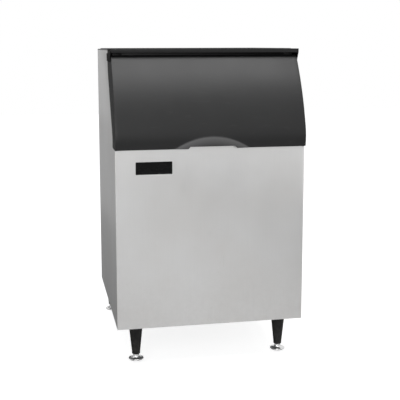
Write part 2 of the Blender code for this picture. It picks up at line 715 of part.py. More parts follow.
def make_door_inside():
    """The foam in the door, its inner panel and the seal that meets the opening's frame."""
    low = DOOR_BOTTOM + INNER_BOTTOM_RISE
    side = SHELL_FILLET
    near = SHELL_WALL + GAP
    rear = LINER_OFFSET + DOOR_LINER_WALL
    foam = profile_between(near, low + DOOR_LINER_WALL + GAP)
    foam += profile_between(LINER_OFFSET - GAP, low + DOOR_LINER_WALL + GAP)[::-1]
    foam = side_plate("door_foam", foam, side, CABINET_WIDTH - side, "foam")
    panel = profile_between(rear, low) + profile_between(LINER_OFFSET, low + DOOR_LINER_WALL)[::-1]
    panel += [profile_between(near, low + DOOR_LINER_WALL)[0], profile_between(near, low)[0]]
    panel = side_plate("door_inner_panel", panel, side, CABINET_WIDTH - side, "liner_plastic")
    for end in (0, 1):
        edge = end * CABINET_WIDTH
        reach = HINGE_NOTCH_WIDTH if end == 0 else -HINGE_NOTCH_WIDTH
        past = -OVERRUN if end == 0 else OVERRUN
        low_x, high_x = sorted((edge + past, edge + reach))
        notch = block(
            f"hinge_notch_{end}",
            (low_x, -2 * OVERRUN, HINGE_Z - HINGE_NOTCH_BELOW),
            (high_x, HINGE_DEPTH + 2 * OVERRUN, HINGE_Z + 2 * OVERRUN), "foam", CUTTERS)
        cut(foam, notch)
        cut(panel, notch)
    near, far = rear + GAP, rear + GAP + SEAL_THICKNESS
    strip_low = low + GAP
    strip = profile_between(near, strip_low) + profile_between(far, strip_low)[::-1]
    seal = side_plate("door_seal", strip, HINGE_NOTCH_WIDTH, CABINET_WIDTH - HINGE_NOTCH_WIDTH,
                      "seal_rubber")
    high = profile_between(far, strip_low)[-1][1] - SEAL_WIDTH
    inside = HINGE_NOTCH_WIDTH + SEAL_WIDTH
    cut(seal, block("door_seal_space", (inside, -2 * OVERRUN, strip_low + SEAL_WIDTH),
                    (CABINET_WIDTH - inside, HINGE_DEPTH + 2 * OVERRUN, high),
                    "seal_rubber", CUTTERS))
    return [foam, panel, seal]


def make_hinge(shell):
    """A bracket on each jamb, with a shoulder pin that the door's bushed cheek turns on."""
    moving = []
    bracket_out = JAMB_OUTSIDE - GAP - BRACKET_THICKNESS
    pad = (HINGE_DEPTH + BRACKET_REACH * math.cos(BRACKET_ANGLE),
           HINGE_Z + BRACKET_REACH * math.sin(BRACKET_ANGLE))
    for side, name in ((0, "left"), (1, "right")):
        sign = -1 if side == 0 else 1
        outward = "-x" if side == 0 else "+x"
        edge = side * CABINET_WIDTH

        def across(inset):
            return world_x(edge - sign * inset)

        pivot_y = world_y(HINGE_DEPTH)
        outline = bracket_outline(pad)
        low, high = sorted((edge - sign * bracket_out, edge - sign * (bracket_out + BRACKET_THICKNESS)))
        bracket = side_plate(f"hinge_bracket_{name}", outline, low, high, "galvanised")
        clear = PIN_RADIUS + RUNNING
        through = rod(f"pin_hole_{name}", clear,
                      (across(bracket_out + OVERRUN), pivot_y, HINGE_Z), 2 * OVERRUN, outward,
                      steps=ROUND_STEPS)
        cut(bracket, through)
        cheek_hole = rod(f"bush_hole_{name}", BUSH_RADIUS + RUNNING,
                         (across(SHELL_WALL + OVERRUN / 10), pivot_y, HINGE_Z), OVERRUN, outward,
                         steps=ROUND_STEPS)
        cut(shell, cheek_hole)
        head = bracket_out + BRACKET_THICKNESS + GAP
        turned(f"hinge_pin_{name}", [
            (0, head + PIN_HEAD_LENGTH - PIN_RECESS),
            (PIN_RADIUS, head + PIN_HEAD_LENGTH - PIN_RECESS),
            (PIN_RADIUS, PIN_HEAD_LENGTH),
            (PIN_HEAD_RADIUS, PIN_HEAD_LENGTH),
            (PIN_HEAD_RADIUS, 0),
            (0, 0),
        ], (across(head + PIN_HEAD_LENGTH), pivot_y, HINGE_Z), "polished_steel",
            ROUND_STEPS, outward)
        flange = SHELL_WALL + GAP + BUSH_FLANGE_LENGTH
        bush = turned(f"hinge_bushing_{name}", [
            (clear, flange - PIN_RECESS),
            (BUSH_RADIUS, flange - PIN_RECESS),
            (BUSH_RADIUS, BUSH_FLANGE_LENGTH),
            (BUSH_FLANGE_RADIUS, BUSH_FLANGE_LENGTH),
            (BUSH_FLANGE_RADIUS, 0),
            (clear, 0),
        ], (across(flange), pivot_y, HINGE_Z), "leg_plastic", ROUND_STEPS, outward, closed=True)
        moving.append(bush)
        for step, place in (("upper", 0.5), ("lower", -0.5)):
            shift = place * BRACKET_SCREW_SPACING
            centre = (pad[0] + shift * math.cos(BRACKET_ANGLE + math.pi / 2),
                      pad[1] + shift * math.sin(BRACKET_ANGLE + math.pi / 2))
            middle = Vector((across(bracket_out), world_y(centre[0]), centre[1]))
            hole = rod(f"screw_hole_{name}_{step}", BRACKET_SCREW_RADIUS + RUNNING,
                       middle - Vector((sign * (BRACKET_SCREW_LENGTH + GAP), 0, 0)),
                       BRACKET_SCREW_LENGTH + OVERRUN, outward)
            cut(bracket, hole)
            cut(bpy.data.objects[f"jamb_{name}"], hole)
            turned(f"bracket_screw_{name}_{step}", [
                (0, GAP + BRACKET_SCREW_HEAD_LENGTH),
                (BRACKET_SCREW_HEAD, GAP + BRACKET_SCREW_HEAD_LENGTH),
                (BRACKET_SCREW_HEAD, GAP),
                (BRACKET_SCREW_RADIUS, GAP),
                (BRACKET_SCREW_RADIUS, -BRACKET_SCREW_LENGTH),
                (0, -BRACKET_SCREW_LENGTH),
            ], middle, "polished_steel", SMALL_STEPS, outward)
    return moving


def bracket_outline(pad):
    """The bracket's outline: an eye round the pin and a wider pad, joined by their tangents."""
    lean = math.asin((BRACKET_PAD_RADIUS - BRACKET_EYE_RADIUS) / BRACKET_REACH)
    points = []
    for centre, radius, start, end in (
        ((HINGE_DEPTH, HINGE_Z), BRACKET_EYE_RADIUS, math.pi / 2 + lean, 3 * math.pi / 2 - lean),
        (pad, BRACKET_PAD_RADIUS, -math.pi / 2 - lean, math.pi / 2 + lean),
    ):
        for i in range(SMALL_STEPS + 1):
            turn = BRACKET_ANGLE + start + (end - start) * i / SMALL_STEPS
            points.append((centre[0] + radius * math.cos(turn), centre[1] + radius * math.sin(turn)))
    return points


def make_front_details():
    """The bare nameplate and the two rubber bumpers that the closed door rests on."""
    top = SHOULDER - PLATE_DROP
    left, right = PLATE_LEFT, PLATE_LEFT + PLATE_WIDTH
    outline = []
    for cx, cz, quarter in ((right - PLATE_ROUND, top - PLATE_ROUND, 0),
                            (left + PLATE_ROUND, top - PLATE_ROUND, 1),
                            (left + PLATE_ROUND, top - PLATE_HEIGHT + PLATE_ROUND, 2),
                            (right - PLATE_ROUND, top - PLATE_HEIGHT + PLATE_ROUND, 3)):
        for i in range(4):
            turn = math.pi / 2 * (quarter + i / 3)
            outline.append((world_x(cx + PLATE_ROUND * math.cos(turn)),
                            cz + PLATE_ROUND * math.sin(turn)))
    plate("nameplate", outline, "y", world_y(-GAP - PLATE_THICKNESS), world_y(-GAP),
          "nameplate_film")
    height = SHOULDER + TONGUE_RISE - BUMPER_DROP
    inner_face = profile_between(SHELL_WALL, height)[0][0]
    for name, across in (("left", BUMPER_INSET), ("right", CABINET_WIDTH - BUMPER_INSET)):
        tip = profile_between(SHELL_WALL, height + BUMPER_RADIUS)[0][0]
        reach = -max(tip, inner_face, profile_between(SHELL_WALL, height - BUMPER_RADIUS)[0][0]) - GAP
        rod(f"door_bumper_{name}", BUMPER_RADIUS, (world_x(across), world_y(-GAP), height),
            reach - GAP, "-y", PARTS, "seal_rubber", ROUND_STEPS)


def make_baffle(header_bottom):
    """The deflector that hangs behind the header and keeps the ice off the door."""
    top = HEADER_TOP - BAFFLE_TOP_DROP
    front = HEADER_BACK + GAP
    back = front + BAFFLE_THICKNESS
    bottom = top - BAFFLE_LENGTH
    outline = [(front, top), (front, bottom), (front + BAFFLE_LIP, bottom - BAFFLE_LIP),
               (back + BAFFLE_LIP, bottom - BAFFLE_LIP), (back, bottom), (back, top)]
    baffle = side_plate("ice_baffle", outline, BAFFLE_INSET, CABINET_WIDTH - BAFFLE_INSET,
                        "liner_plastic")
    height = max(HEADER_TOP - KNOB_DROP, header_bottom + KNOB_RADIUS)
    inset = BAFFLE_INSET + KNOB_INSET
    for name, across in (("left", inset), ("right", CABINET_WIDTH - inset)):
        place = (world_x(across), world_y(back + GAP), height)
        hole = rod(f"knob_hole_{name}", KNOB_STUD_RADIUS + RUNNING,
                   (place[0], world_y(back - KNOB_STUD_LENGTH - GAP), height),
                   KNOB_STUD_LENGTH + OVERRUN, "+y")
        cut(baffle, hole)
        cut(bpy.data.objects["header"], hole)
        turned(f"baffle_knob_{name}", [
            (0, KNOB_LENGTH),
            (KNOB_RADIUS * 0.85, KNOB_LENGTH),
            (KNOB_RADIUS, KNOB_LENGTH * 0.85),
            (KNOB_RADIUS, KNOB_LENGTH * 0.15),
            (KNOB_RADIUS * 0.85, 0),
            (KNOB_STUD_RADIUS, 0),
            (KNOB_STUD_RADIUS, -KNOB_STUD_LENGTH),
            (0, -KNOB_STUD_LENGTH),
        ], place, "leg_plastic", SMALL_STEPS, "+y")


def make_legs(pan):
    """Four tapered legs, screwed up through the base pan into plates, each with a levelling foot."""
    corners = {
        "front_left": (FRONT_LEG_SIDE, FRONT_LEG_BACK),
        "front_right": (CABINET_WIDTH - FRONT_LEG_SIDE, FRONT_LEG_BACK),
        "rear_left": (REAR_LEG_SIDE, CABINET_DEPTH - REAR_LEG_BACK),
        "rear_right": (CABINET_WIDTH - REAR_LEG_SIDE, CABINET_DEPTH - REAR_LEG_BACK),
    }
    leg_bottom = FOOT_HEIGHT + GAP
    bore = FOOT_STUD_RADIUS + RUNNING
    bore_top = leg_bottom + FOOT_STUD_LENGTH + RUNNING
    for name, (across, depth) in corners.items():
        x, y = world_x(across), world_y(depth)
        hole = rod(f"leg_hole_{name}", LEG_STUD_RADIUS + GAP, (x, y, LEG_HEIGHT - OVERRUN),
                   2 * OVERRUN, "z")
        cut(pan, hole)
        half = LEG_PLATE_SIDE / 2
        plate_low = FLOOR_TOP + GAP
        support = block(f"leg_plate_{name}", (across - half, depth - half, plate_low),
                        (across + half, depth + half, plate_low + LEG_PLATE_THICKNESS), "galvanised")
        cut(support, hole)
        top = LEG_HEIGHT - GAP
        turned(f"leg_{name}", [
            (0, top + LEG_STUD_LENGTH),
            (LEG_STUD_RADIUS, top + LEG_STUD_LENGTH),
            (LEG_STUD_RADIUS, top),
            (LEG_TOP_RADIUS, top),
            (LEG_BOTTOM_RADIUS + LEG_CHAMFER / 3, leg_bottom + LEG_CHAMFER),
            (LEG_BOTTOM_RADIUS - LEG_CHAMFER / 3, leg_bottom),
            (bore, leg_bottom),
            (bore, bore_top),
            (0, bore_top),
        ], (x, y, 0), "leg_plastic")
        foot = turned(f"foot_{name}", [
            (0, leg_bottom + FOOT_STUD_LENGTH),
            (FOOT_STUD_RADIUS, leg_bottom + FOOT_STUD_LENGTH),
            (FOOT_STUD_RADIUS, FOOT_HEIGHT),
            (FOOT_NECK_RADIUS, FOOT_HEIGHT),
            (FOOT_NECK_RADIUS, FOOT_CONE_HEIGHT),
            (FOOT_FLANGE_RADIUS, FOOT_EDGE_HEIGHT),
            (FOOT_FLANGE_RADIUS, FOOT_EDGE_HEIGHT / 2),
            (FOOT_BASE_RADIUS, 0),
            (0, 0),
        ], (x, y, 0), "polished_steel")
        hung_on(f"foot_axis_{name}", (x, y, 0), [foot])


def make_drain(pan, foam, liner):
    """The drain through the bin's floor, with its strainer and the nut under the cabinet."""
    x, y = world_x(CENTRE_X), world_y(CABINET_DEPTH - DRAIN_BACK)
    outlet = LEG_HEIGHT - DRAIN_BELOW
    hole = rod("drain_hole", DRAIN_TUBE_RADIUS + GAP, (x, y, LEG_HEIGHT - OVERRUN),
               BIN_FLOOR - LEG_HEIGHT + 2 * OVERRUN, "z", steps=ROUND_STEPS)
    for piece in (pan, foam, liner):
        cut(piece, hole)
    seat = BIN_FLOOR + GAP
    turned("drain_fitting", [
        (DRAIN_BORE_RADIUS, seat + DRAIN_FLANGE_HEIGHT),
        (DRAIN_FLANGE_RADIUS, seat + DRAIN_FLANGE_HEIGHT),
        (DRAIN_FLANGE_RADIUS, seat),
        (DRAIN_TUBE_RADIUS, seat),
        (DRAIN_TUBE_RADIUS, outlet),
        (DRAIN_BORE_RADIUS, outlet),
    ], (x, y, 0), "leg_plastic", closed=True)
    under = LEG_HEIGHT - GAP
    nut = rod("drain_nut", DRAIN_NUT_RADIUS, (x, y, under - DRAIN_NUT_HEIGHT), DRAIN_NUT_HEIGHT, "z",
              PARTS, "leg_plastic", NUT_SIDES)
    cut(nut, hole)
    rest = seat + DRAIN_FLANGE_HEIGHT + GAP
    strainer = rod("drain_strainer", STRAINER_RADIUS, (x, y, rest), STRAINER_HEIGHT, "z", PARTS,
                   "polished_steel", ROUND_STEPS)
    for i in range(STRAINER_HOLES):
        turn = 2 * math.pi * i / STRAINER_HOLES
        place = (x + STRAINER_HOLE_RING * math.cos(turn), y + STRAINER_HOLE_RING * math.sin(turn),
                 rest - OVERRUN)
        cut(strainer, rod(f"strainer_hole_{i}", STRAINER_HOLE_RADIUS, place, 2 * OVERRUN, "z"))


make_side_panels()
make_front_panel()
body_pan, body_foam, body_liner = make_body(list(make_back_panel()))
lowest_header = make_frame()
make_trim_and_rim()
door_shell = make_door_shell()
door_pieces = [door_shell, *make_door_inside()]
door_pieces += make_hinge(door_shell)
make_front_details()
make_baffle(lowest_header)
make_legs(body_pan)
make_drain(body_pan, body_foam, body_liner)
hung_on("door_hinge_axis", (0, world_y(HINGE_DEPTH), HINGE_Z), door_pieces)
print(f"door hinge at depth {HINGE_DEPTH:.4f}, height {HINGE_Z:.4f}; door bottom {DOOR_BOTTOM:.4f}")
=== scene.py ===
# %% [markdown]
# An ice storage bin, dressed for its photograph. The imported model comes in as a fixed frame: every
# solid already has its place and its size, and this lesson gives each of them its edges, its
# surface and its light.

# %% Load the frame
import json
import math

import bmesh
import bpy
from mathutils import Matrix, Vector


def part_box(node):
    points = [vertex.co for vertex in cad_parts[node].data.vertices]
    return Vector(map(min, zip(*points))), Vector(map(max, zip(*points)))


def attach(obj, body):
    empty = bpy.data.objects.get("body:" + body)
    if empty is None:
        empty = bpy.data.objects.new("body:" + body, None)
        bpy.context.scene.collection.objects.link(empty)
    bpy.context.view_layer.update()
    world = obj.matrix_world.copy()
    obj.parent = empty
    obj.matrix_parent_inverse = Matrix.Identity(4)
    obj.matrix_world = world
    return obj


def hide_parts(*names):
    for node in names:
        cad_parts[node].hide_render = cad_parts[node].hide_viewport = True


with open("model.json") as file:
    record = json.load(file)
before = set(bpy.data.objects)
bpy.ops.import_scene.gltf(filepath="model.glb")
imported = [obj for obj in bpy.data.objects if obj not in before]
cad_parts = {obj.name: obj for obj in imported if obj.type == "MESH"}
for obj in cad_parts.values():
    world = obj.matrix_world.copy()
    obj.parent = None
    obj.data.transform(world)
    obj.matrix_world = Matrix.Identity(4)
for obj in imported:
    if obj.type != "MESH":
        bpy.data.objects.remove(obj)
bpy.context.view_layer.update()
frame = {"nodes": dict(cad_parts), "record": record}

# %% [markdown]
# The camera stands a little to the left of the bin and just above the height of its top, so that
# the top is seen edge on. Its place was worked out from the corners of the cabinet and the feet in
# the photograph. A small shift of the lens frames the bin. A larger one would keep the cabinet's
# edges even more upright, but every other view keeps the shift too, and would lose the top of the
# bin.

# %% The camera
EYE = Vector((-0.6838, -3.4726, 1.2800))
TURN, LOOK_DOWN, TILT = 0.1873, 0.140, -0.0025
IMAGE_SIDE = 400
FOCAL_PIXELS = 808.09
MIDDLE_ACROSS, MIDDLE_DOWN = 187.98, 159.16
SENSOR_WIDTH = 36

scene = bpy.context.scene
lens = bpy.data.cameras.new("eye")
lens.sensor_width = SENSOR_WIDTH
lens.lens = FOCAL_PIXELS * SENSOR_WIDTH / IMAGE_SIDE
lens.shift_x = (IMAGE_SIDE / 2 - MIDDLE_ACROSS) / IMAGE_SIDE
lens.shift_y = (MIDDLE_DOWN - IMAGE_SIDE / 2) / IMAGE_SIDE
camera = bpy.data.objects.new("eye", lens)
scene.collection.objects.link(camera)
aim = Matrix.Rotation(-TURN, 4, "Z") @ Matrix.Rotation(math.pi / 2 - LOOK_DOWN, 4, "X")
camera.matrix_world = Matrix.Translation(EYE) @ aim @ Matrix.Rotation(TILT, 4, "Z")
scene.camera = camera
scene.view_settings.view_transform = "Standard"
print("lens", round(lens.lens, 1), "mm, shift", round(lens.shift_x, 4), round(lens.shift_y, 4))

# %% [markdown]
# Nodes are placed by two small helpers. `plug` fills one socket, with a number, a colour or the
# output of another node. `node` adds a node and fills in its sockets by name.

# %% Helpers for nodes
def plug(tree, socket, value):
    if isinstance(value, bpy.types.NodeSocket):
        tree.links.new(value, socket)
    elif isinstance(value, (tuple, list)) and len(value) == 3 and socket.type == "RGBA":
        socket.default_value = (*value, 1)
    else:
        socket.default_value = value


def node(tree, kind, settings=None, **sockets):
    made = tree.nodes.new("ShaderNode" + kind)
    for name, value in (settings or {}).items():
        setattr(made, name, value)
    for name, value in sockets.items():
        plug(tree, made.inputs[name.replace("_", " ")], value)
    return made

# %% [markdown]
# The rest are short names for the nodes that nearly every finish needs: products, sums, ranges,
# blends and noise.

# %% Helpers for common nodes
MIX_FIRST_COLOUR, MIX_SECOND_COLOUR, MIX_COLOUR_OUT = 6, 7, 2


def arithmetic(tree, operation, first, second, clamp=False):
    made = node(tree, "Math", {"operation": operation, "use_clamp": clamp})
    plug(tree, made.inputs[0], first)
    plug(tree, made.inputs[1], second)
    return made.outputs[0]


def times(tree, first, second, clamp=False):
    return arithmetic(tree, "MULTIPLY", first, second, clamp)


def plus(tree, first, second):
    return arithmetic(tree, "ADD", first, second)


def larger(tree, first, second):
    return arithmetic(tree, "MAXIMUM", first, second)


def between(tree, value, low, high, out_low=0.0, out_high=1.0):
    made = node(tree, "MapRange", Value=value, From_Min=low, From_Max=high,
                To_Min=out_low, To_Max=out_high)
    return made.outputs["Result"]


def blended(tree, share, first, second):
    made = node(tree, "Mix", {"data_type": "RGBA"}, Factor=share)
    plug(tree, made.inputs[MIX_FIRST_COLOUR], first)
    plug(tree, made.inputs[MIX_SECOND_COLOUR], second)
    return made.outputs[MIX_COLOUR_OUT]


def stretched(tree, vector, scale):
    return node(tree, "Mapping", Vector=vector, Scale=scale).outputs["Vector"]


def noise(tree, vector, scale, detail, roughness=0.5, distortion=0.0):
    made = node(tree, "TexNoise", Vector=vector, Scale=scale, Detail=detail,
                Roughness=roughness, Distortion=distortion)
    return made.outputs[0]

# %% [markdown]
# A group keeps an effect that several finishes share. It is built once, with named inputs and
# outputs, and `use` puts it to work in a material.

# %% Helpers for groups
def effect_group(name, inputs, outputs):
    """An empty node group with a Vector input, named value inputs and named value outputs."""
    group = bpy.data.node_groups.new(name, "ShaderNodeTree")
    group.interface.new_socket("Vector", in_out="INPUT", socket_type="NodeSocketVector")
    for label, start in inputs:
        socket = group.interface.new_socket(label, in_out="INPUT", socket_type="NodeSocketFloat")
        socket.default_value = start
    for label in outputs:
        group.interface.new_socket(label, in_out="OUTPUT", socket_type="NodeSocketFloat")
    entry = group.nodes.new("NodeGroupInput")
    leave = group.nodes.new("NodeGroupOutput")
    return group, entry.outputs, leave.inputs


def use(tree, group, vector, **values):
    return node(tree, "Group", {"node_tree": group}, Vector=vector, **values).outputs

# %% [markdown]
# Sheet steel is brushed before it is folded, which leaves short hairlines that all run one way. A
# noise squeezed across and stretched up the sheet gives such lines. A second, slow noise gives the
# faint clouds that hands and cleaning leave, so one group puts out both.

# %% Brushed hairlines
HAIR_STRETCH, BAND_STRETCH, RUB_STRETCH = (1400, 1400, 9), (260, 260, 3), (9, 9, 4)
HAIR_SHARE = 0.7
brushed, take, give = effect_group(
    "Brushed hairlines", [("Fineness", 1.0)], ["Grain", "Clouds", "Rubbed"])
hairs = noise(brushed, stretched(brushed, take["Vector"], HAIR_STRETCH), take["Fineness"],
              detail=3, roughness=0.6)
bands = noise(brushed, stretched(brushed, take["Vector"], BAND_STRETCH), take["Fineness"],
              detail=2)
plug(brushed, give["Grain"], plus(brushed, times(brushed, hairs, HAIR_SHARE),
                                  times(brushed, bands, 1 - HAIR_SHARE)))
clouds = noise(brushed, take["Vector"], scale=3.2, detail=3, roughness=0.55)
plug(brushed, give["Clouds"], between(brushed, clouds, 0.35, 0.65))
rubbed = noise(brushed, stretched(brushed, take["Vector"], RUB_STRETCH),
               scale=1.0, detail=6, roughness=0.7)
plug(brushed, give["Rubbed"], between(brushed, rubbed, 0.45, 0.7))
print("group", brushed.name)

# %% [markdown]
# A plastic moulding copies the texture of its mould: a fine, even pebble, a little unevenness from
# the way the plastic cooled, and thin scuffs from years of use. The pebble is a Voronoi texture
# and the rest is noise. The group puts out heights and masks, and each plastic picks its own
# strengths.

# %% Mould texture
SCUFF_STRETCH = (14, 90, 60)
mould, take, give = effect_group(
    "Mould texture", [("Pebble Scale", 900.0)], ["Pebble", "Cooling", "Scuffs"])
pebble = node(mould, "TexVoronoi", {"feature": "SMOOTH_F1"}, Vector=take["Vector"],
              Scale=take["Pebble Scale"], Smoothness=0.6)
plug(mould, give["Pebble"], pebble.outputs["Distance"])
cooling = noise(mould, take["Vector"], scale=5.0, detail=4, roughness=0.6)
plug(mould, give["Cooling"], between(mould, cooling, 0.35, 0.65))
scratch = noise(mould, stretched(mould, take["Vector"], SCUFF_STRETCH),
                scale=1.0, detail=5, roughness=0.65, distortion=0.6)
plug(mould, give["Scuffs"], between(mould, scratch, 0.6, 0.74))
print("group", mould.name)

# %% [markdown]
# Edges are where a finish wears first. The Geometry node's pointiness tells how sharply a surface
# turns at each vertex, and because every edge here is rounded, it marks exactly the rounding.
# Broken up with noise it gives worn spots instead of an even line.

# %% Worn edges
worn, take, give = effect_group("Worn edges", [("Sharpness", 0.53)], ["Wear"])
pointiness = node(worn, "NewGeometry").outputs["Pointiness"]
turn_mask = between(worn, arithmetic(worn, "SUBTRACT", pointiness, take["Sharpness"]), 0.0, 0.12)
chips = noise(worn, take["Vector"], scale=45.0, detail=5, roughness=0.7)
plug(worn, give["Wear"], times(worn, turn_mask, between(worn, chips, 0.38, 0.62), clamp=True))
print("group", worn.name)

# %% [markdown]
# Near the floor everything that stands still gathers a little dust and splashed water marks. The
# group fades with the height above the floor, so that one bin has one common dust line.

# %% Dust near the floor
dusty, take, give = effect_group("Floor dust", [("Reach", 0.35)], ["Dust"])
height = node(dusty, "SeparateXYZ", Vector=take["Vector"]).outputs["Z"]
climbed = arithmetic(dusty, "DIVIDE", height, take["Reach"])
low_down = arithmetic(dusty, "SUBTRACT", 1.0, climbed, clamp=True)
specks = noise(dusty, take["Vector"], scale=38.0, detail=7, roughness=0.7)
plug(dusty, give["Dust"], times(dusty, low_down, between(dusty, specks, 0.35, 0.75), clamp=True))
print("group", dusty.name)

# %% [markdown]
# A material starts with one Principled shader and the object's own coordinates. The first function
# below gives both back, so that each finish only says what is special about it. The second lays
# dust over a colour, and the third connects colour, roughness and bump to the shader.

# %% A new finish
def finish_named(name, colour, roughness, metallic=0.0, specular=0.5):
    made = bpy.data.materials.new(name)
    made.use_nodes = True
    tree = made.node_tree
    shader = tree.nodes["Principled BSDF"]
    plug(tree, shader.inputs["Base Color"], colour)
    shader.inputs["Roughness"].default_value = roughness
    shader.inputs["Metallic"].default_value = metallic
    shader.inputs["Specular IOR Level"].default_value = specular
    return made, tree, shader, node(tree, "TexCoord").outputs["Object"]


def dusted(tree, where, hue, reach, share, dust):
    settled = use(tree, dusty, where, Reach=reach)["Dust"]
    return blended(tree, times(tree, settled, share), hue, dust)


def surfaced(tree, shader, hue, roughness, height, strength, distance):
    plug(tree, shader.inputs["Base Color"], hue)
    plug(tree, shader.inputs["Roughness"], roughness)
    bump = node(tree, "Bump", Strength=strength, Distance=distance, Height=height)
    plug(tree, shader.inputs["Normal"], bump.outputs["Normal"])

# %% [markdown]
# The skin of the cabinet is brushed stainless sheet. It is a metal, so its colour is the colour of
# its reflection: a light, faintly warm grey. The hairlines go into bump and roughness, the clouds
# shift the colour by a few percent, and rubbed places are a little glossier.

# %% Stainless
WARM, COOL, BETWEEN_HAIRS = (0.690, 0.684, 0.676), (0.725, 0.725, 0.723), (0.38, 0.38, 0.38)
HAIR_CONTRAST, RUBBED_SHEEN = 0.14, -0.05
stainless, tree, shader, where = finish_named(
    "stainless sheet", (0.5, 0.5, 0.5), roughness=0.34, metallic=1.0)
lines = use(tree, brushed, where)
hue = blended(tree, lines["Clouds"], COOL, WARM)
hue = blended(tree, times(tree, lines["Grain"], HAIR_CONTRAST), hue, BETWEEN_HAIRS)
hue = dusted(tree, where, hue, reach=0.45, share=0.22, dust=(0.36, 0.35, 0.33))
sheen = plus(tree, between(tree, lines["Grain"], 0.3, 0.7, out_low=0.30, out_high=0.40),
             times(tree, lines["Rubbed"], RUBBED_SHEEN))
surfaced(tree, shader, hue, sheen, lines["Grain"], strength=0.05, distance=0.0004)
print("finish", stainless.name)

# %% [markdown]
# Hidden steelwork is galvanised: the zinc freezes into flat crystals, each a shade lighter or
# darker than the next. Voronoi cells are such crystals, and their random colour sets shade and
# roughness.

# %% Galvanised steel
CRYSTAL_SHARE = 0.7
galvanised, tree, shader, where = finish_named(
    "galvanised steel", (0.42, 0.43, 0.44), roughness=0.42, metallic=1.0)
crystals = node(tree, "TexVoronoi", Vector=where, Scale=85.0, Randomness=1.0)
shade = node(tree, "SeparateColor", Color=crystals.outputs["Color"]).outputs[0]
frost = noise(tree, where, scale=260.0, detail=4)
mixed = plus(tree, times(tree, shade, CRYSTAL_SHARE), times(tree, frost, 1 - CRYSTAL_SHARE))
hue = blended(tree, mixed, (0.33, 0.34, 0.355), (0.50, 0.505, 0.51))
hue = dusted(tree, where, hue, reach=0.5, share=0.3, dust=(0.22, 0.21, 0.2))
sheen = between(tree, mixed, 0.2, 0.8, out_low=0.34, out_high=0.52)
surfaced(tree, shader, hue, sheen, mixed, strength=0.08, distance=0.0003)
print("finish", galvanised.name)

# %% [markdown]
# All plastics are made alike. Colour and sheen shift a little where the moulding cooled unevenly,
# scuffs and worn edges are lighter and duller, and dust lies on whatever is near the floor.

# %% A moulded plastic
COOLING_SHADE, WEAR_SHARE = 0.90, 0.6
COOLING_SHEEN, SCUFF_SHEEN, SHEEN_SHIFT = 0.05, 0.08, -0.03
# The last colour is the grey of the painted highlight in the door handle's hollow.
PLASTIC_DUST, PAINTED_HIGHLIGHT_GREY = (0.20, 0.19, 0.175), (0.095, 0.095, 0.096)


def moulded(name, colour, worn_colour, roughness, specular, pebble_scale, pebble_depth,
            scuffed=0.25, painted_highlight=False):
    made, tree, shader, where = finish_named(name, colour, roughness, specular=specular)
    surface = use(tree, mould, where, Pebble_Scale=pebble_scale)
    wear = use(tree, worn, where)["Wear"]
    hue = blended(tree, surface["Cooling"], tuple(COOLING_SHADE * part for part in colour), colour)
    marks = larger(tree, times(tree, surface["Scuffs"], scuffed), times(tree, wear, WEAR_SHARE))
    hue = blended(tree, marks, hue, worn_colour)
    hue = dusted(tree, where, hue, reach=0.25, share=0.18, dust=PLASTIC_DUST)
    # A painted highlight, read from a mesh attribute, lightens the handle's hollow.
    if painted_highlight:
        highlight_share = node(tree, "Attribute", {"attribute_name": "painted_highlight"}).outputs["Fac"]
        hue = blended(tree, highlight_share, hue, PAINTED_HIGHLIGHT_GREY)
    uneven = plus(tree, times(tree, surface["Cooling"], COOLING_SHEEN),
                  times(tree, surface["Scuffs"], SCUFF_SHEEN))
    sheen = plus(tree, uneven, roughness + SHEEN_SHIFT)
    surfaced(tree, shader, hue, sheen, surface["Pebble"], pebble_depth, distance=0.0005)
    print("finish", made.name)
    return made

# %% [markdown]
# The door is a dark charcoal moulding with a satin surface. Its fine pebble blurs what it
# reflects, so that the leaning upper part looks much lighter than the upright lower part. A
# painted highlight, stored in an attribute of the mesh, lightens the hollow of the handle, and
# the cheeks at the door's ends take a less reflective copy of the moulding as painted shade.

# %% Plastics
# The door moulding carries the painted highlight of the handle's hollow.
door_plastic = moulded("charcoal door moulding", (0.0094, 0.0095, 0.0098), (0.034, 0.034, 0.034),
                       roughness=0.36, specular=0.36, pebble_scale=950.0,
                       pebble_depth=0.08, painted_highlight=True)
# The cheeks get a less reflective copy of the door moulding, as painted shade.
shaded_cheek_plastic = moulded("charcoal cheek moulding in painted shade", (0.0095, 0.0095, 0.0098), (0.03, 0.03, 0.03),
                        roughness=0.55, specular=0.12, pebble_scale=700.0,
                        pebble_depth=0.10)
frame_plastic = moulded("black frame moulding", (0.0055, 0.0055, 0.0057), (0.028, 0.028, 0.028),
                        roughness=0.36, specular=0.28, pebble_scale=1100.0,
                        pebble_depth=0.06)
cap_plastic = moulded("black end cap moulding", (0.0045, 0.0045, 0.0047), (0.016, 0.016, 0.016),
                      roughness=0.65, specular=0.04, pebble_scale=1000.0,
                      pebble_depth=0.10, scuffed=0.10)
leg_plastic = moulded("black leg nylon", (0.0048, 0.0048, 0.0050), (0.026, 0.025, 0.024),
                      roughness=0.32, specular=0.20, pebble_scale=800.0,
                      pebble_depth=0.05)
liner_plastic = moulded("white liner plastic", (0.76, 0.765, 0.765), (0.70, 0.70, 0.69),
                        roughness=0.30, specular=0.50, pebble_scale=260.0,
                        pebble_depth=0.06, scuffed=0.12)

# %% [markdown]
# Rubber seals are dull and slightly greyed. Foam shows only as a hairline in the seams, where grey
# sealant covers its cells. Bright steel is nearly a mirror with turning marks and a few water
# spots.

# %% Rubber, foam and bright steel
TURNING_STRETCH = (30, 30, 2600)
rubber, tree, shader, where = finish_named(
    "black seal rubber", (0.014, 0.014, 0.014), roughness=0.7)
surface = use(tree, mould, where, Pebble_Scale=1500.0)
hue = blended(tree, surface["Cooling"], (0.011, 0.011, 0.011), (0.026, 0.026, 0.025))
sheen = between(tree, surface["Cooling"], 0, 1, out_low=0.62, out_high=0.8)
surfaced(tree, shader, hue, sheen, surface["Pebble"], strength=0.15, distance=0.0004)

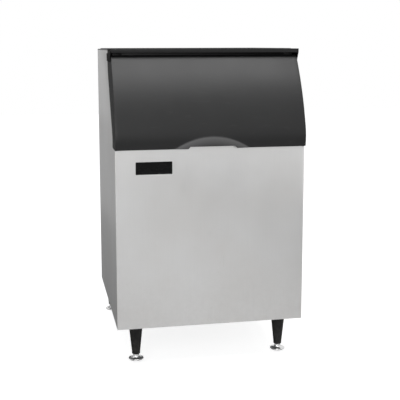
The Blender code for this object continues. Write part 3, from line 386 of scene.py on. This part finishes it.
foam, tree, shader, where = finish_named("sealed grey foam", (0.10, 0.10, 0.10), roughness=0.85)
cells = node(tree, "TexVoronoi", Vector=where, Scale=420.0).outputs["Distance"]
tone = noise(tree, where, scale=9.0, detail=5)
hue = blended(tree, tone, (0.10, 0.10, 0.098), (0.15, 0.148, 0.145))
hue = blended(tree, between(tree, cells, 0.0, 0.7), (0.05, 0.05, 0.048), hue)
sheen = between(tree, tone, 0.3, 0.7, out_low=0.78, out_high=0.95)
surfaced(tree, shader, hue, sheen, cells, strength=0.5, distance=0.0012)

polished, tree, shader, where = finish_named(
    "bright plated steel", (0.72, 0.72, 0.72), roughness=0.09, metallic=1.0)
spots = noise(tree, where, scale=120.0, detail=6, roughness=0.7)
turning = noise(tree, stretched(tree, where, TURNING_STRETCH), scale=1.0, detail=2)
hue = blended(tree, between(tree, spots, 0.5, 0.75), (0.74, 0.74, 0.745), (0.60, 0.60, 0.59))
hue = dusted(tree, where, hue, reach=0.05, share=0.25, dust=(0.42, 0.40, 0.37))
sheen = between(tree, spots, 0.4, 0.8, out_low=0.07, out_high=0.22)
surfaced(tree, shader, hue, sheen, turning, strength=0.05, distance=0.0002)
print("finishes", rubber.name + ",", foam.name, "and", polished.name)

# %% [markdown]
# The nameplate is a thin black film in a light frame. On this part it carries no words, so its
# whole interest is in its satin surface, with the faint ripple of a film that was stuck on by
# hand.

# %% Nameplate film
RIPPLE_STRETCH = (16, 16, 30)
film, tree, shader, where = finish_named(
    "black plate film", (0.004, 0.004, 0.004), roughness=0.26, specular=0.12)
ripple = noise(tree, stretched(tree, where, RIPPLE_STRETCH), scale=1.0, detail=3)
fleck = noise(tree, where, scale=700.0, detail=4)
hue = blended(tree, fleck, (0.003, 0.003, 0.0032), (0.006, 0.006, 0.0062))
sheen = between(tree, ripple, 0.3, 0.7, out_low=0.2, out_high=0.33)
surfaced(tree, shader, hue, sheen, ripple, strength=0.12, distance=0.001)
print("finish", film.name)

# %% [markdown]
# Each solid carries the name of its finish in its material slot, as the record calls it. One table
# turns these names into the finishes above, and every solid is given its own.

# %% Dress the solids
FINISHES = {
    "stainless": stainless,
    "galvanised": galvanised,
    "door_plastic": door_plastic,
    "frame_plastic": frame_plastic,
    "liner_plastic": liner_plastic,
    "foam": foam,
    "seal_rubber": rubber,
    "leg_plastic": leg_plastic,
    "polished_steel": polished,
    "nameplate_film": film,
}
finish_of = {}
for name, solid in frame["nodes"].items():
    for place in solid.material_slots:
        finish_of[name] = place.material.name.split(".")[0]
        place.material = FINISHES[finish_of[name]]
print(len(finish_of), "solids dressed in", len(set(finish_of.values())), "finishes")

# %% [markdown]
# A finished piece is a mesh in one object that rides on the same body as the solid it stands for,
# and takes the same finish. `bring_in` does all of that in one call. Where it rounds edges, a
# Bevel modifier does so, and the flat faces stay flat in the shading.

# %% Put a piece in the frame
SHARP_FROM = math.radians(28)
home_of = {solid: body for body, solids in frame["record"]["behaviour"]["bodies"].items()
           for solid in solids}


def placed(bm, name):
    mesh = bpy.data.meshes.new(name)
    bm.to_mesh(mesh)
    bm.free()
    made = bpy.data.objects.new(name, mesh)
    scene.collection.objects.link(made)
    return made


def bring_in(bm, name, stands_for, finishes=(), rounding=0.0, rings=3, wall=0.0):
    made = placed(bm, name)
    for face in made.data.polygons:
        face.use_smooth = True
    for finish in finishes or [FINISHES[finish_of[stands_for]]]:
        made.data.materials.append(finish)
    if wall:
        thick = made.modifiers.new("wall", "SOLIDIFY")
        thick.thickness = wall
        thick.offset = -1
        thick.use_even_offset = True
    if rounding:
        edge = made.modifiers.new("rounded edges", "BEVEL")
        edge.width = rounding
        edge.segments = rings
        edge.limit_method = "ANGLE"
        edge.angle_limit = SHARP_FROM
        edge.harden_normals = True
    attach(made, home_of[stands_for])
    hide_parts(stands_for)

# %% [markdown]
# No folded sheet or moulded bar has knife edges: the fold of 1.2 mm sheet is about 1 mm round, and
# a moulding's edges are rounder still. The solids are plain, so each visible one is copied, its
# loose triangles are merged back into whole faces, and its edges are rounded. The bores of the
# back panel are closed first, since the heads of their screws cover them and a broad face shades
# evenly only when it is one whole piece.

# %% Copy a solid with whole faces
SAME_PLACE, SAME_PLANE = 0.00002, math.radians(1)
BORE_MARGIN, BORE_WALL = 0.005, 0.5


def close_bores(bm, low, high):
    walls = []
    for face in bm.faces:
        middle = face.calc_center_median()
        within = all(low[i] + BORE_MARGIN < middle[i] < high[i] - BORE_MARGIN for i in (0, 2))
        if within and abs(face.normal.y) < BORE_WALL:
            walls.append(face)
    bmesh.ops.delete(bm, geom=walls, context="FACES")
    bmesh.ops.holes_fill(bm, edges=[edge for edge in bm.edges if edge.is_boundary], sides=0)
    bmesh.ops.recalc_face_normals(bm, faces=bm.faces)
    print("closed bores with", len(walls), "wall faces")


def whole_faces(name):
    bm = bmesh.new()
    bm.from_mesh(frame["nodes"][name].data)
    bmesh.ops.remove_doubles(bm, verts=bm.verts, dist=SAME_PLACE)
    if name == "back_panel":
        close_bores(bm, *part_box(name))
    bmesh.ops.dissolve_limit(bm, angle_limit=SAME_PLANE, verts=bm.verts, edges=bm.edges)
    return bm

# %% [markdown]
# The table gives every sheet and moulding the radius of its edges. The end caps of the top
# moulding get a duller plastic of their own.

# %% Round the edges of sheets and mouldings
EDGE_ROUNDING = {
    "front_panel": 0.0016, "side_panel_left": 0.0004, "side_panel_right": 0.0004,
    "back_panel": 0.0006, "base_pan": 0.0004,
    "top_trim": 0.0012,
    "rim_front": 0.0012, "rim_back": 0.0012, "rim_left": 0.0012, "rim_right": 0.0012,
    "top_seal": 0.0008, "jamb_left": 0.0020, "jamb_right": 0.0020, "sill": 0.0030,
    "header": 0.0030, "ice_baffle": 0.0010, "door_inner_panel": 0.0012, "door_seal": 0.0020,
    "hinge_bracket_left": 0.0006, "hinge_bracket_right": 0.0006,
    "trim_cap_left": 0.0009, "trim_cap_right": 0.0009,
}
for name, rounding in EDGE_ROUNDING.items():
    own = (cap_plastic,) if name.startswith("trim_cap") else ()
    bring_in(whole_faces(name), name + "_rounded", name, own, rounding)
print(len(EDGE_ROUNDING), "sheets and mouldings have rounded edges")

# %% [markdown]
# The door is one sheet of plastic, and the main shape of the whole bin. Seen from the side its
# face is a chain of arcs: it tucks under at the bottom, bulges, leans back, runs straight and
# rolls over the hinge. One vertex, spun round the centre of each arc in turn, draws exactly that
# outline.

# %% Draw the door's side outline
shell_low, shell_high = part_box("door_shell")
front_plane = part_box("front_panel")[0].y
HALF_WIDTH = shell_high.x
DOOR_BOTTOM = shell_low.z
BULGE = 0.0218
TUCK, BELLY, FACE, ROLL = 0.178, 0.160, 0.900, 0.014
TUCK_LEAN, BELLY_LEAN, FACE_LEAN, ROLL_LEAN = map(math.radians, (-12, 16, 31.5, 80))
TUCK_STEPS, BELLY_STEPS, FACE_STEPS, ROLL_STEPS = 12, 12, 30, 8
STRAIGHT, STRAIGHT_CUTS = 0.0629, 7


def inward(radius, lean):
    """The way from a place on the face to the centre of its arc."""
    return Vector((0, radius * math.cos(lean), -radius * math.sin(lean)))


def carried_round(bm, vertex, centre, angle, steps):
    """Draws an arc from a vertex, about an axis that runs across the bin, and gives its end."""
    made = bmesh.ops.spin(bm, geom=[vertex], cent=centre, axis=(-1, 0, 0), dvec=(0, 0, 0),
                          angle=angle, steps=steps, use_merge=False, use_normal_flip=False,
                          use_duplicate=False)
    return next(part for part in made["geom_last"] if isinstance(part, bmesh.types.BMVert))


tuck_middle = Vector((0, front_plane - BULGE + TUCK, DOOR_BOTTOM - TUCK * math.sin(TUCK_LEAN)))
door = bmesh.new()
# This vertex layer holds the painted highlight of the handle's hollow.
highlight_layer = door.verts.layers.float.new("painted_highlight")
tip = door.verts.new(tuck_middle - inward(TUCK, TUCK_LEAN))
for radius, lean, next_lean, steps in ((TUCK, TUCK_LEAN, 0, TUCK_STEPS),
                                       (BELLY, 0, BELLY_LEAN, BELLY_STEPS),
                                       (FACE, BELLY_LEAN, FACE_LEAN, FACE_STEPS)):
    tip = carried_round(door, tip, tip.co + inward(radius, lean), next_lean - lean, steps)
run = bmesh.ops.extrude_vert_indiv(door, verts=[tip])
bmesh.ops.translate(door, verts=run["verts"], vec=(
    0, STRAIGHT * math.sin(FACE_LEAN), STRAIGHT * math.cos(FACE_LEAN)))
bmesh.ops.subdivide_edges(door, edges=run["edges"], cuts=STRAIGHT_CUTS)
tip = max(door.verts, key=lambda v: v.co.z)
hinge = tip.co + inward(ROLL, FACE_LEAN)
carried_round(door, tip, hinge, ROLL_LEAN - FACE_LEAN, ROLL_STEPS)
outline = sorted((v.co.copy() for v in door.verts), key=lambda place: place.z)
print(len(outline), "points up the door, hinge at", tuple(round(v, 4) for v in hinge))

# %% [markdown]
# The outline is going to be pulled across the door from row to row. Around the handle the rows lie
# close together, because the lip there has a crisp crescent edge, and elsewhere they are wide
# apart. At both corners the last rows turn inwards along a small fillet.

# %% Rows across the door
CORNER, CORNER_TURNS = 0.0025, 4
HANDLE_HALF, FINE_STEP, WIDE_STEP = 0.156, 0.003, 0.012

fine_count = round(2 * HANDLE_HALF / FINE_STEP)
spacing = [FINE_STEP * i - HANDLE_HALF for i in range(fine_count + 1)]
flank = HALF_WIDTH - CORNER - HANDLE_HALF
wide_count = round(flank / WIDE_STEP)
spacing += [side * (HANDLE_HALF + flank * i / wide_count)
            for side in (-1, 1) for i in range(1, wide_count)]
quarter = [math.pi / 2 * i / CORNER_TURNS for i in range(CORNER_TURNS + 1)]
corner_rows = [(side * (HALF_WIDTH - CORNER * (1 - math.sin(turn))), CORNER * (1 - math.cos(turn)))
               for side in (-1, 1) for turn in quarter]
stations = sorted([(x, 0.0) for x in spacing] + corner_rows)
print(len(stations), "rows across the door")

# %% [markdown]
# Now the outline's edges are extruded again and again, once for each row. The rows of the corners
# are then set back along the outline's normal, towards the flat cheeks that close the ends later.

# %% Pull the outline across
def verts_of(result):
    return [part for part in result["geom"] if isinstance(part, bmesh.types.BMVert)]


def normal_at(index):
    below, above = outline[max(index - 1, 0)], outline[min(index + 1, len(outline) - 1)]
    along = (above - below).normalized()
    return Vector((0, -along.z, along.y))


edges = list(door.edges)
bmesh.ops.translate(door, verts=door.verts, vec=(stations[0][0], 0, 0))
columns = [sorted(door.verts, key=lambda v: v.co.z)]
for (before, _), (x, _) in zip(stations, stations[1:]):
    grown = bmesh.ops.extrude_edge_only(door, edges=edges)
    fresh = verts_of(grown)
    edges = [part for part in grown["geom"] if isinstance(part, bmesh.types.BMEdge)
             and all(vertex in fresh for vertex in part.verts)]
    bmesh.ops.translate(door, verts=fresh, vec=(x - before, 0, 0))
    columns.append(sorted(fresh, key=lambda v: v.co.z))
for (_, inset), column in zip(stations, columns):
    for index, vertex in enumerate(column):
        vertex.co -= inset * normal_at(index)
print(len(door.faces), "faces on the door's front")

# %% [markdown]
# The handle is a shallow crescent in the lower edge. Under a parabola the face is pulled forward,
# steeply at first and then less, which makes the hollow that catches the light from above. The
# edge itself is raised a little between two short slants, so that fingers get behind it. Every
# vertex is moved by the same two rules, which keeps the sheet in one piece. A painted highlight
# is stored on the hollow's vertices, strongest along its upper edge.

# %% Shape the handle
LIP_HALF, LIP_HEIGHT, LIP_REACH = 0.154, 0.049, 0.0084
NOTCH_HALF, NOTCH_SLANT, NOTCH_RISE = 0.090, 0.008, 0.009
# These two shape the painted highlight along the hollow's upper edge.
HIGHLIGHT_EDGE, HIGHLIGHT_FADE = 9, 0.8
tuck_top = tuck_middle.z


def raised(x):
    past = (abs(x) - NOTCH_HALF) / NOTCH_SLANT
    return NOTCH_RISE * (1 - min(max(past, 0.0), 1.0))


def under_parabola(x, z):
    """0 outside the crescent, 1 at the middle of the door's lower edge."""
    below = (DOOR_BOTTOM + LIP_HEIGHT - z) / LIP_HEIGHT - (x / LIP_HALF) ** 2
    return min(max(below, 0.0), 1.0)


for column in columns[CORNER_TURNS + 1:-CORNER_TURNS - 1]:
    for vertex in column:
        x, y, z = vertex.co
        if z < tuck_top:
            z += raised(x) * (tuck_top - z) / (tuck_top - DOOR_BOTTOM)
            y = tuck_middle.y - math.sqrt(TUCK ** 2 - (z - tuck_middle.z) ** 2)
        if abs(x) < HANDLE_HALF:
            depth = under_parabola(x, z)
            y -= LIP_REACH * (1 - (1 - depth) ** 2)
            # The painted highlight is strongest just below the hollow's upper edge and fades towards
            # its bottom.
            vertex[highlight_layer] = min(HIGHLIGHT_EDGE * depth, 1.0) * (1 - HIGHLIGHT_FADE * depth)
        vertex.co = (x, y, z)
lip = front_plane - min(v.co.y for v in door.verts)
print("handle lip reaches", round(1000 * lip, 1), "mm forward")

# %% [markdown]
# The cheeks reach back over the cabinet's sides. Their free edge is an arc about the hinge, so
# that the gap to the side panel stays the same while the door opens, then a slope and an upright
# end. The edge is drawn by spinning a vertex about the hinge, and the flat is filled in one go. A
# Solidify modifier gives the whole sheet its 3 mm, and a small bevel breaks its edges.

# %% Add the cheeks
CHEEK_RADIUS, CHEEK_SLOPE, CHEEK_BACK, CHEEK_STEPS = 0.135, math.radians(32), 0.093, 24
ON_CHEEK, WELD, DOOR_WALL = 0.000001, 0.00001, 0.003
for column in (columns[0], columns[-1]):
    top, bottom = column[-1], column[0]
    x = bottom.co.x
    rise = math.asin((top.co.z - hinge.z) / CHEEK_RADIUS)
    corner = door.verts.new((x, hinge.y + CHEEK_RADIUS * math.cos(rise), top.co.z))
    door.edges.new((top, corner))
    last = carried_round(door, corner, (x, hinge.y, hinge.z), rise + CHEEK_SLOPE, CHEEK_STEPS)
    heel_y = front_plane + CHEEK_BACK
    drop = (last.co.y - heel_y) / math.tan(CHEEK_SLOPE)
    for place in ((x, heel_y, last.co.z - drop), (x, heel_y, DOOR_BOTTOM)):
        last = bmesh.ops.extrude_vert_indiv(door, verts=[last])["verts"][0]
        last.co = place
    door.edges.new((last, bottom))
    rim = [edge for edge in door.edges if all(abs(v.co.x - x) < ON_CHEEK for v in edge.verts)]
    # The cheeks take the second slot, the door moulding's painted-shade copy.
    for cheek in bmesh.ops.edgeloop_fill(door, edges=rim)["faces"]:
        cheek.material_index = 1
bmesh.ops.remove_doubles(door, verts=door.verts, dist=WELD)
bmesh.ops.recalc_face_normals(door, faces=door.faces)
if sum(face.normal.y * face.calc_area() for face in door.faces) > 0:
    bmesh.ops.reverse_faces(door, faces=door.faces)
print(len(door.faces), "faces on the door with its cheeks")
# The door's second finish is the painted-shade copy for the cheeks.
bring_in(door, "door_shell_moulded", "door_shell", (door_plastic, shaded_cheek_plastic),
         rounding=0.0007, rings=2, wall=DOOR_WALL)

# %% [markdown]
# Legs, feet, pins, knobs and screws are all turned or moulded round an axis. Half their outline is
# drawn from a few points, and one full spin closes it. A piece that lies on its side starts from
# one end of its solid's box and runs along the axis towards the other.

# %% Turned pieces
LAY = {"Z": Matrix.Identity(3), "X": Matrix.Rotation(math.pi / 2, 3, "Y"),
       "-X": Matrix.Rotation(-math.pi / 2, 3, "Y"), "-Y": Matrix.Rotation(math.pi / 2, 3, "X")}


def turned(name, profile, start, axis="Z", steps=56, rounding=0.0):
    """Spins a profile of (radius, height) points about an upright line, then lays it along axis."""
    bm = bmesh.new()
    last = bm.verts.new((profile[0][0], 0, profile[0][1]))
    for radius, height in profile[1:]:
        last = bmesh.ops.extrude_vert_indiv(bm, verts=[last])["verts"][0]
        last.co = (radius, 0, height)
    bmesh.ops.spin(bm, geom=bm.verts[:] + bm.edges[:], cent=(0, 0, 0), axis=(0, 0, 1),
                   dvec=(0, 0, 0), angle=2 * math.pi, steps=steps, use_merge=True,
                   use_normal_flip=False, use_duplicate=False)
    bmesh.ops.remove_doubles(bm, verts=bm.verts, dist=WELD)
    bmesh.ops.recalc_face_normals(bm, faces=bm.faces)
    bmesh.ops.rotate(bm, verts=bm.verts, cent=(0, 0, 0), matrix=LAY[axis])
    bmesh.ops.translate(bm, verts=bm.verts, vec=start)
    bring_in(bm, name + "_turned", name, rounding=rounding, rings=2)


def laid_out(name, axis):
    """The end of a solid's box that an axis starts from, and the size of the box."""
    low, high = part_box(name)
    start, way = (low + high) / 2, 0 if axis.endswith("X") else 1
    start[way] = high[way] if axis.startswith("-") else low[way]
    return start, high - low

# %% [markdown]
# Each leg is a tapered nylon moulding with a small rounded foot end and a stud that screws up into
# the cabinet. The levelling foot below it is bright plated steel: a neck, a hollow cone and a
# flange. `hollow` draws the cone's curve, which flares from neck to flange like the bell of a
# trumpet.

# %% Legs and levelling feet
def hollow(start, end, steps):
    """Points on a quarter ellipse from start down to end, hollow towards the outside."""
    (r0, z0), (r1, z1) = start, end
    turns = [math.pi / 2 * i / steps for i in range(steps + 1)]
    return [(r1 - (r1 - r0) * math.cos(t), z0 - (z0 - z1) * math.sin(t)) for t in turns]


LEG_PROFILE = [
    (0, 0.1617), (0.008, 0.1617), (0.008, 0.1517), (0.0290, 0.1517), (0.0295, 0.1505),
    (0.0294, 0.1490), (0.0288, 0.1482), (0.0286, 0.1455), (0.0168, 0.0310), (0.0170, 0.0302),
    (0.0170, 0.0262), (0.0158, 0.0243), (0.0140, 0.0237), (0.0063, 0.0237), (0.0063, 0.0700),
    (0, 0.0700)]
FOOT_PROFILE = [
    (0, 0.0697), (0.006, 0.0697), (0.006, 0.0234), (0.0118, 0.0234), (0.0125, 0.0226),
    (0.0125, 0.0195)] + hollow((0.0116, 0.0190), (0.0290, 0.0068), 10) + [
    (0.0300, 0.0066), (0.0308, 0.0056), (0.0310, 0.0043), (0.0306, 0.0030), (0.0280, 0.0004),
    (0.0265, 0), (0.0180, 0), (0.0165, 0.0012), (0, 0.0012)]
CORNERS = ("front_left", "front_right", "rear_left", "rear_right")
for corner in CORNERS:
    low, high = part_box("foot_" + corner)
    place = ((low.x + high.x) / 2, (low.y + high.y) / 2, 0)
    turned("leg_" + corner, LEG_PROFILE, place, rounding=0.0006)
    turned("foot_" + corner, FOOT_PROFILE, place, steps=72)
print(len(CORNERS), "legs and feet turned")

# %% [markdown]
# The door hangs on two shoulder pins. Small as they are, they show when the door is open, and so
# do the pan-head screws of their brackets, the knobs of the ice deflector and the rubber bumpers.
# The back panel is held by pan-head screws too. Each profile is given the size of its solid's box.

# %% Profiles of small turned pieces
DOME_STEPS = 6


def pin(size):
    return [(0, 0), (0.0050, 0), (0.0066, 0.0007), (0.0070, 0.0016), (0.0070, 0.0040),
            (0.0040, 0.0040), (0.0040, size.x - 0.0006), (0.0034, size.x), (0, size.x)]


def pan_screw(radius, head, shank, length):
    """A domed head with a sunk socket, and its shank."""
    turns = [math.pi / 2 * i / DOME_STEPS for i in range(DOME_STEPS + 1)]
    dome = [(radius * math.sin(t), head * (1 - math.cos(t))) for t in turns]
    socket = [(0, 0.4 * head), (0.28 * radius, 0.4 * head), (0.34 * radius, 0.06 * head)]
    return socket + dome[2:] + [(shank, head), (shank, length - 0.0008), (0, length)]


def back_screw(size):
    return pan_screw(0.005, 0.002, 0.002, size.y)


def bracket_screw(size):
    return pan_screw(0.004, 0.0012, 0.002, size.x)


def knob(size):
    return [(0, 0), (0.0085, 0), (0.0108, 0.0012), (0.0120, 0.0030), (0.0120, 0.0105),
            (0.0112, 0.0128), (0.0095, 0.0140), (0.0030, 0.0140), (0.0030, size.y), (0, size.y)]


def bumper(size):
    radius, length = size.x / 2, size.y
    return [(0, 0), (radius, 0), (radius, length - 0.0020), (radius - 0.0009, length - 0.0007),
            (radius - 0.0025, length), (0, length)]

# %% [markdown]
# Each kind of piece has its profile, the axis it runs along, the steps of its spin and the
# rounding of its edges.

# %% Pins, screws, knobs and bumpers
SMALL_PIECES = {
    "hinge_pin_left": (pin, "X", 40, 0),
    "hinge_pin_right": (pin, "-X", 40, 0),
    "back_screw": (back_screw, "-Y", 32, 0),
    "bracket_screw_left": (bracket_screw, "-X", 32, 0),
    "bracket_screw_right": (bracket_screw, "X", 32, 0),
    "baffle_knob": (knob, "-Y", 40, 0),
    "door_bumper": (bumper, "-Y", 32, 0.0004),
}
for kind, (profile, axis, steps, rounding) in SMALL_PIECES.items():
    found = [name for name in frame["nodes"] if name.startswith(kind)]
    for name in found:
        start, size = laid_out(name, axis)
        turned(name, profile(size), start, axis, steps, rounding)
    print(len(found), kind.replace("_", " "), "turned")

# %% [markdown]
# The ice lies in a moulded liner with generous corner radii, so that it can be scooped and wiped.
# The solid has square corners. Here its inner faces are kept, the edges between them are rounded
# with the bevel operator, and a wall is added behind them.

# %% Mould the liner
LINER_CORNER, LINER_WALL = 0.024, 0.003
LEAST_AREA, LEAST_FOLD = 0.01, 0.5
bm = whole_faces("ice_liner")
low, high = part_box("ice_liner")
inside = (low + high) / 2
outer = [face for face in bm.faces
         if face.normal.dot(inside - face.calc_center_median()) < 0
         or face.calc_area() < LEAST_AREA]
bmesh.ops.delete(bm, geom=outer, context="FACES")
folds = [edge for edge in bm.edges
         if len(edge.link_faces) == 2 and edge.calc_face_angle() > LEAST_FOLD]
print("liner:", len(bm.faces), "inner faces,", len(folds), "corners to round")
bmesh.ops.bevel(bm, geom=folds, offset=LINER_CORNER, offset_type="OFFSET", segments=6,
                profile=0.5, affect="EDGES", material=-1, clamp_overlap=True)
bring_in(bm, "ice_liner_moulded", "ice_liner", wall=LINER_WALL, rounding=0.0008, rings=2)

# %% [markdown]
# The nameplate is a thin plate with rounded corners: a bright frame round a black film, with
# nothing printed on it. The film is an inset of the front face, sunk by a few tenths of a
# millimetre.

# %% Make the nameplate
PLATE_CORNER, PLATE_FRAME, FILM_SUNK = 0.003, 0.0008, 0.0003
low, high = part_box("nameplate")
bm = bmesh.new()
bmesh.ops.create_cube(bm, size=1.0)
bmesh.ops.scale(bm, verts=bm.verts, vec=high - low)
bmesh.ops.translate(bm, verts=bm.verts, vec=(low + high) / 2)
uprights = [edge for edge in bm.edges if abs(edge.verts[0].co.y - edge.verts[1].co.y) > 0.001]
bmesh.ops.bevel(bm, geom=uprights, offset=PLATE_CORNER, segments=6, profile=0.5, affect="EDGES",
                material=-1)
bmesh.ops.recalc_face_normals(bm, faces=bm.faces)
front = min(bm.faces, key=lambda face: face.calc_center_median().y)
bmesh.ops.inset_region(bm, faces=[front], thickness=PLATE_FRAME, depth=0)
bmesh.ops.inset_region(bm, faces=[front], thickness=FILM_SUNK, depth=-FILM_SUNK)
front.material_index = 1
print("nameplate with", len(bm.faces), "faces")
bring_in(bm, "nameplate_bare", "nameplate", (stainless, film), rounding=0.0003, rings=2)

# %% [markdown]
# The bin was photographed on white. The floor is pale and takes the bin's soft shadow. It lies
# just below the lowest place that a levelling foot can be screwed down to, so that no pose pushes
# a foot through it.

# %% Floor
FLOOR_HEIGHT, FLOOR_HALF = -0.0255, 12.0
bm = bmesh.new()
bmesh.ops.create_grid(bm, x_segments=1, y_segments=1, size=FLOOR_HALF)
bmesh.ops.translate(bm, verts=bm.verts, vec=(0, 0, FLOOR_HEIGHT))
floor = placed(bm, "floor")
print("floor", round(-1000 * FLOOR_HEIGHT, 1), "mm below the feet")

# %% [markdown]
# A light of the floor's own, seen by the camera and only faintly by mirrors, lifts it to the white
# of the photograph. The camera looks through it from below, so that the underside can be seen.

# %% Paper of the floor
SEEN_GLOW, MIRRORED_GLOW = 0.78, 0.09
paper, tree, shader, where = finish_named(
    "pale studio floor", (0.70, 0.70, 0.70), roughness=0.9, specular=0.1)
speck = noise(tree, where, scale=40.0, detail=3)
plug(tree, shader.inputs["Base Color"],
     blended(tree, speck, (0.70, 0.70, 0.70), (0.73, 0.73, 0.73)))
path = node(tree, "LightPath").outputs
mirrored = larger(tree, path["Is Glossy Ray"], path["Is Transmission Ray"])
seen = plus(tree, times(tree, path["Is Camera Ray"], SEEN_GLOW),
            times(tree, mirrored, MIRRORED_GLOW))
glow = node(tree, "Emission", Color=(1.0, 1.0, 1.0), Strength=seen)
both = node(tree, "AddShader")
plug(tree, both.inputs[0], shader.outputs[0])
plug(tree, both.inputs[1], glow.outputs[0])
from_below = node(tree, "NewGeometry").outputs["Backfacing"]
looked_through = node(tree, "MixShader", Fac=times(tree, from_below, path["Is Camera Ray"]))
plug(tree, looked_through.inputs[1], both.outputs[0])
plug(tree, looked_through.inputs[2], node(tree, "BsdfTransparent").outputs[0])
plug(tree, tree.nodes["Material Output"].inputs["Surface"], looked_through.outputs[0])
floor.data.materials.append(paper)
print("floor covered with", paper.name)

# %% [markdown]
# The sky of this small studio is white where the camera, metal or clear plastic looks at it, and
# dimmer as a light, so that the lamps can still shape the bin.

# %% Sky
SKY_LIGHT = 0.45
sky = bpy.data.worlds.new("studio sky")
sky.use_nodes = True
tree = sky.node_tree
path = node(tree, "LightPath").outputs
seen = larger(tree, path["Is Camera Ray"],
              larger(tree, path["Is Glossy Ray"], path["Is Transmission Ray"]))
background = tree.nodes["Background"].inputs
plug(tree, background["Color"], (1, 1, 1))
plug(tree, background["Strength"], between(tree, seen, 0, 1, SKY_LIGHT, 1.0))
scene.world = sky
print("sky lights with", SKY_LIGHT)

# %% [markdown]
# A large soft lamp hangs in front of the bin and above it. The door's leaning face mirrors it,
# which gives the satin highlight of the upper door. A second, smaller lamp from the left keeps the
# front brighter than the side.

# %% Lamps
def soft_lamp(name, place, target, size, power):
    lamp = bpy.data.lights.new(name, "AREA")
    lamp.shape = "RECTANGLE"
    lamp.size, lamp.size_y = size
    lamp.energy = power
    made = bpy.data.objects.new(name, lamp)
    aim = (Vector(target) - Vector(place)).to_track_quat("-Z", "Y")
    made.matrix_world = Matrix.Translation(place) @ aim.to_matrix().to_4x4()
    made.visible_camera = False
    scene.collection.objects.link(made)
    print(name, power, "W")


soft_lamp("overhead lamp", (0.15, -1.3, 3.5), target=(0.05, -0.25, 1.1), size=(2.9, 1.4), power=57)
soft_lamp("front lamp", (-1.6, -3.8, 1.9), target=(0, -0.35, 0.8), size=(1.6, 1.6), power=32)

# %% [markdown]
# White all round would make every metal face equally bright. Photographers stand grey cards beside
# shiny things, out of the camera's sight. Here they are planes that only mirrors see: one behind
# the left side and one on the floor beside it for the side panel, and two low ones for the bright
# feet.

# %% Grey cards
def grey_card(name, corner, along, rise, shade, far_shade):
    """A card spanned by two edges from a corner, shading away from the first edge."""
    bm = bmesh.new()
    shading = bm.verts.layers.float.new("far")
    start = bm.verts.new(corner)
    edge = bmesh.ops.extrude_vert_indiv(bm, verts=[start])
    bmesh.ops.translate(bm, verts=edge["verts"], vec=along)
    grown = verts_of(bmesh.ops.extrude_edge_only(bm, edges=edge["edges"]))
    bmesh.ops.translate(bm, verts=grown, vec=rise)
    for vertex in grown:
        vertex[shading] = 1.0
    card = placed(bm, name)
    card.visible_camera = card.visible_diffuse = card.visible_shadow = False
    felt = bpy.data.materials.new(name)
    felt.use_nodes = True
    tree = felt.node_tree
    far = node(tree, "Attribute", {"attribute_name": "far"}).outputs["Fac"]
    tone = blended(tree, far, (shade,) * 3, (far_shade,) * 3)
    glow = node(tree, "Emission", Color=tone, Strength=1.0)
    plug(tree, tree.nodes["Material Output"].inputs["Surface"], glow.outputs[0])
    card.data.materials.append(felt)
    print(name, "from", shade, "to", far_shade)


grey_card("left card", (-3.0, 1.5, 0.0), along=(2.4, 1.0, 0), rise=(0, 0, 2.6),
          shade=0.38, far_shade=0.42)
grey_card("left floor card", (-0.42, -0.34, 0.004), along=(0, 3.2, 0), rise=(-1.6, 0, 0),
          shade=0.22, far_shade=0.36)
grey_card("right low card", (1.6, -3.4, 0.0), along=(1.6, 1.6, 0), rise=(0, 0, 0.5),
          shade=0.06, far_shade=0.50)
grey_card("left low card", (-3.6, -1.2, 0.0), along=(1.2, -1.6, 0), rise=(0, 0, 0.7),
          shade=0.06, far_shade=0.30)
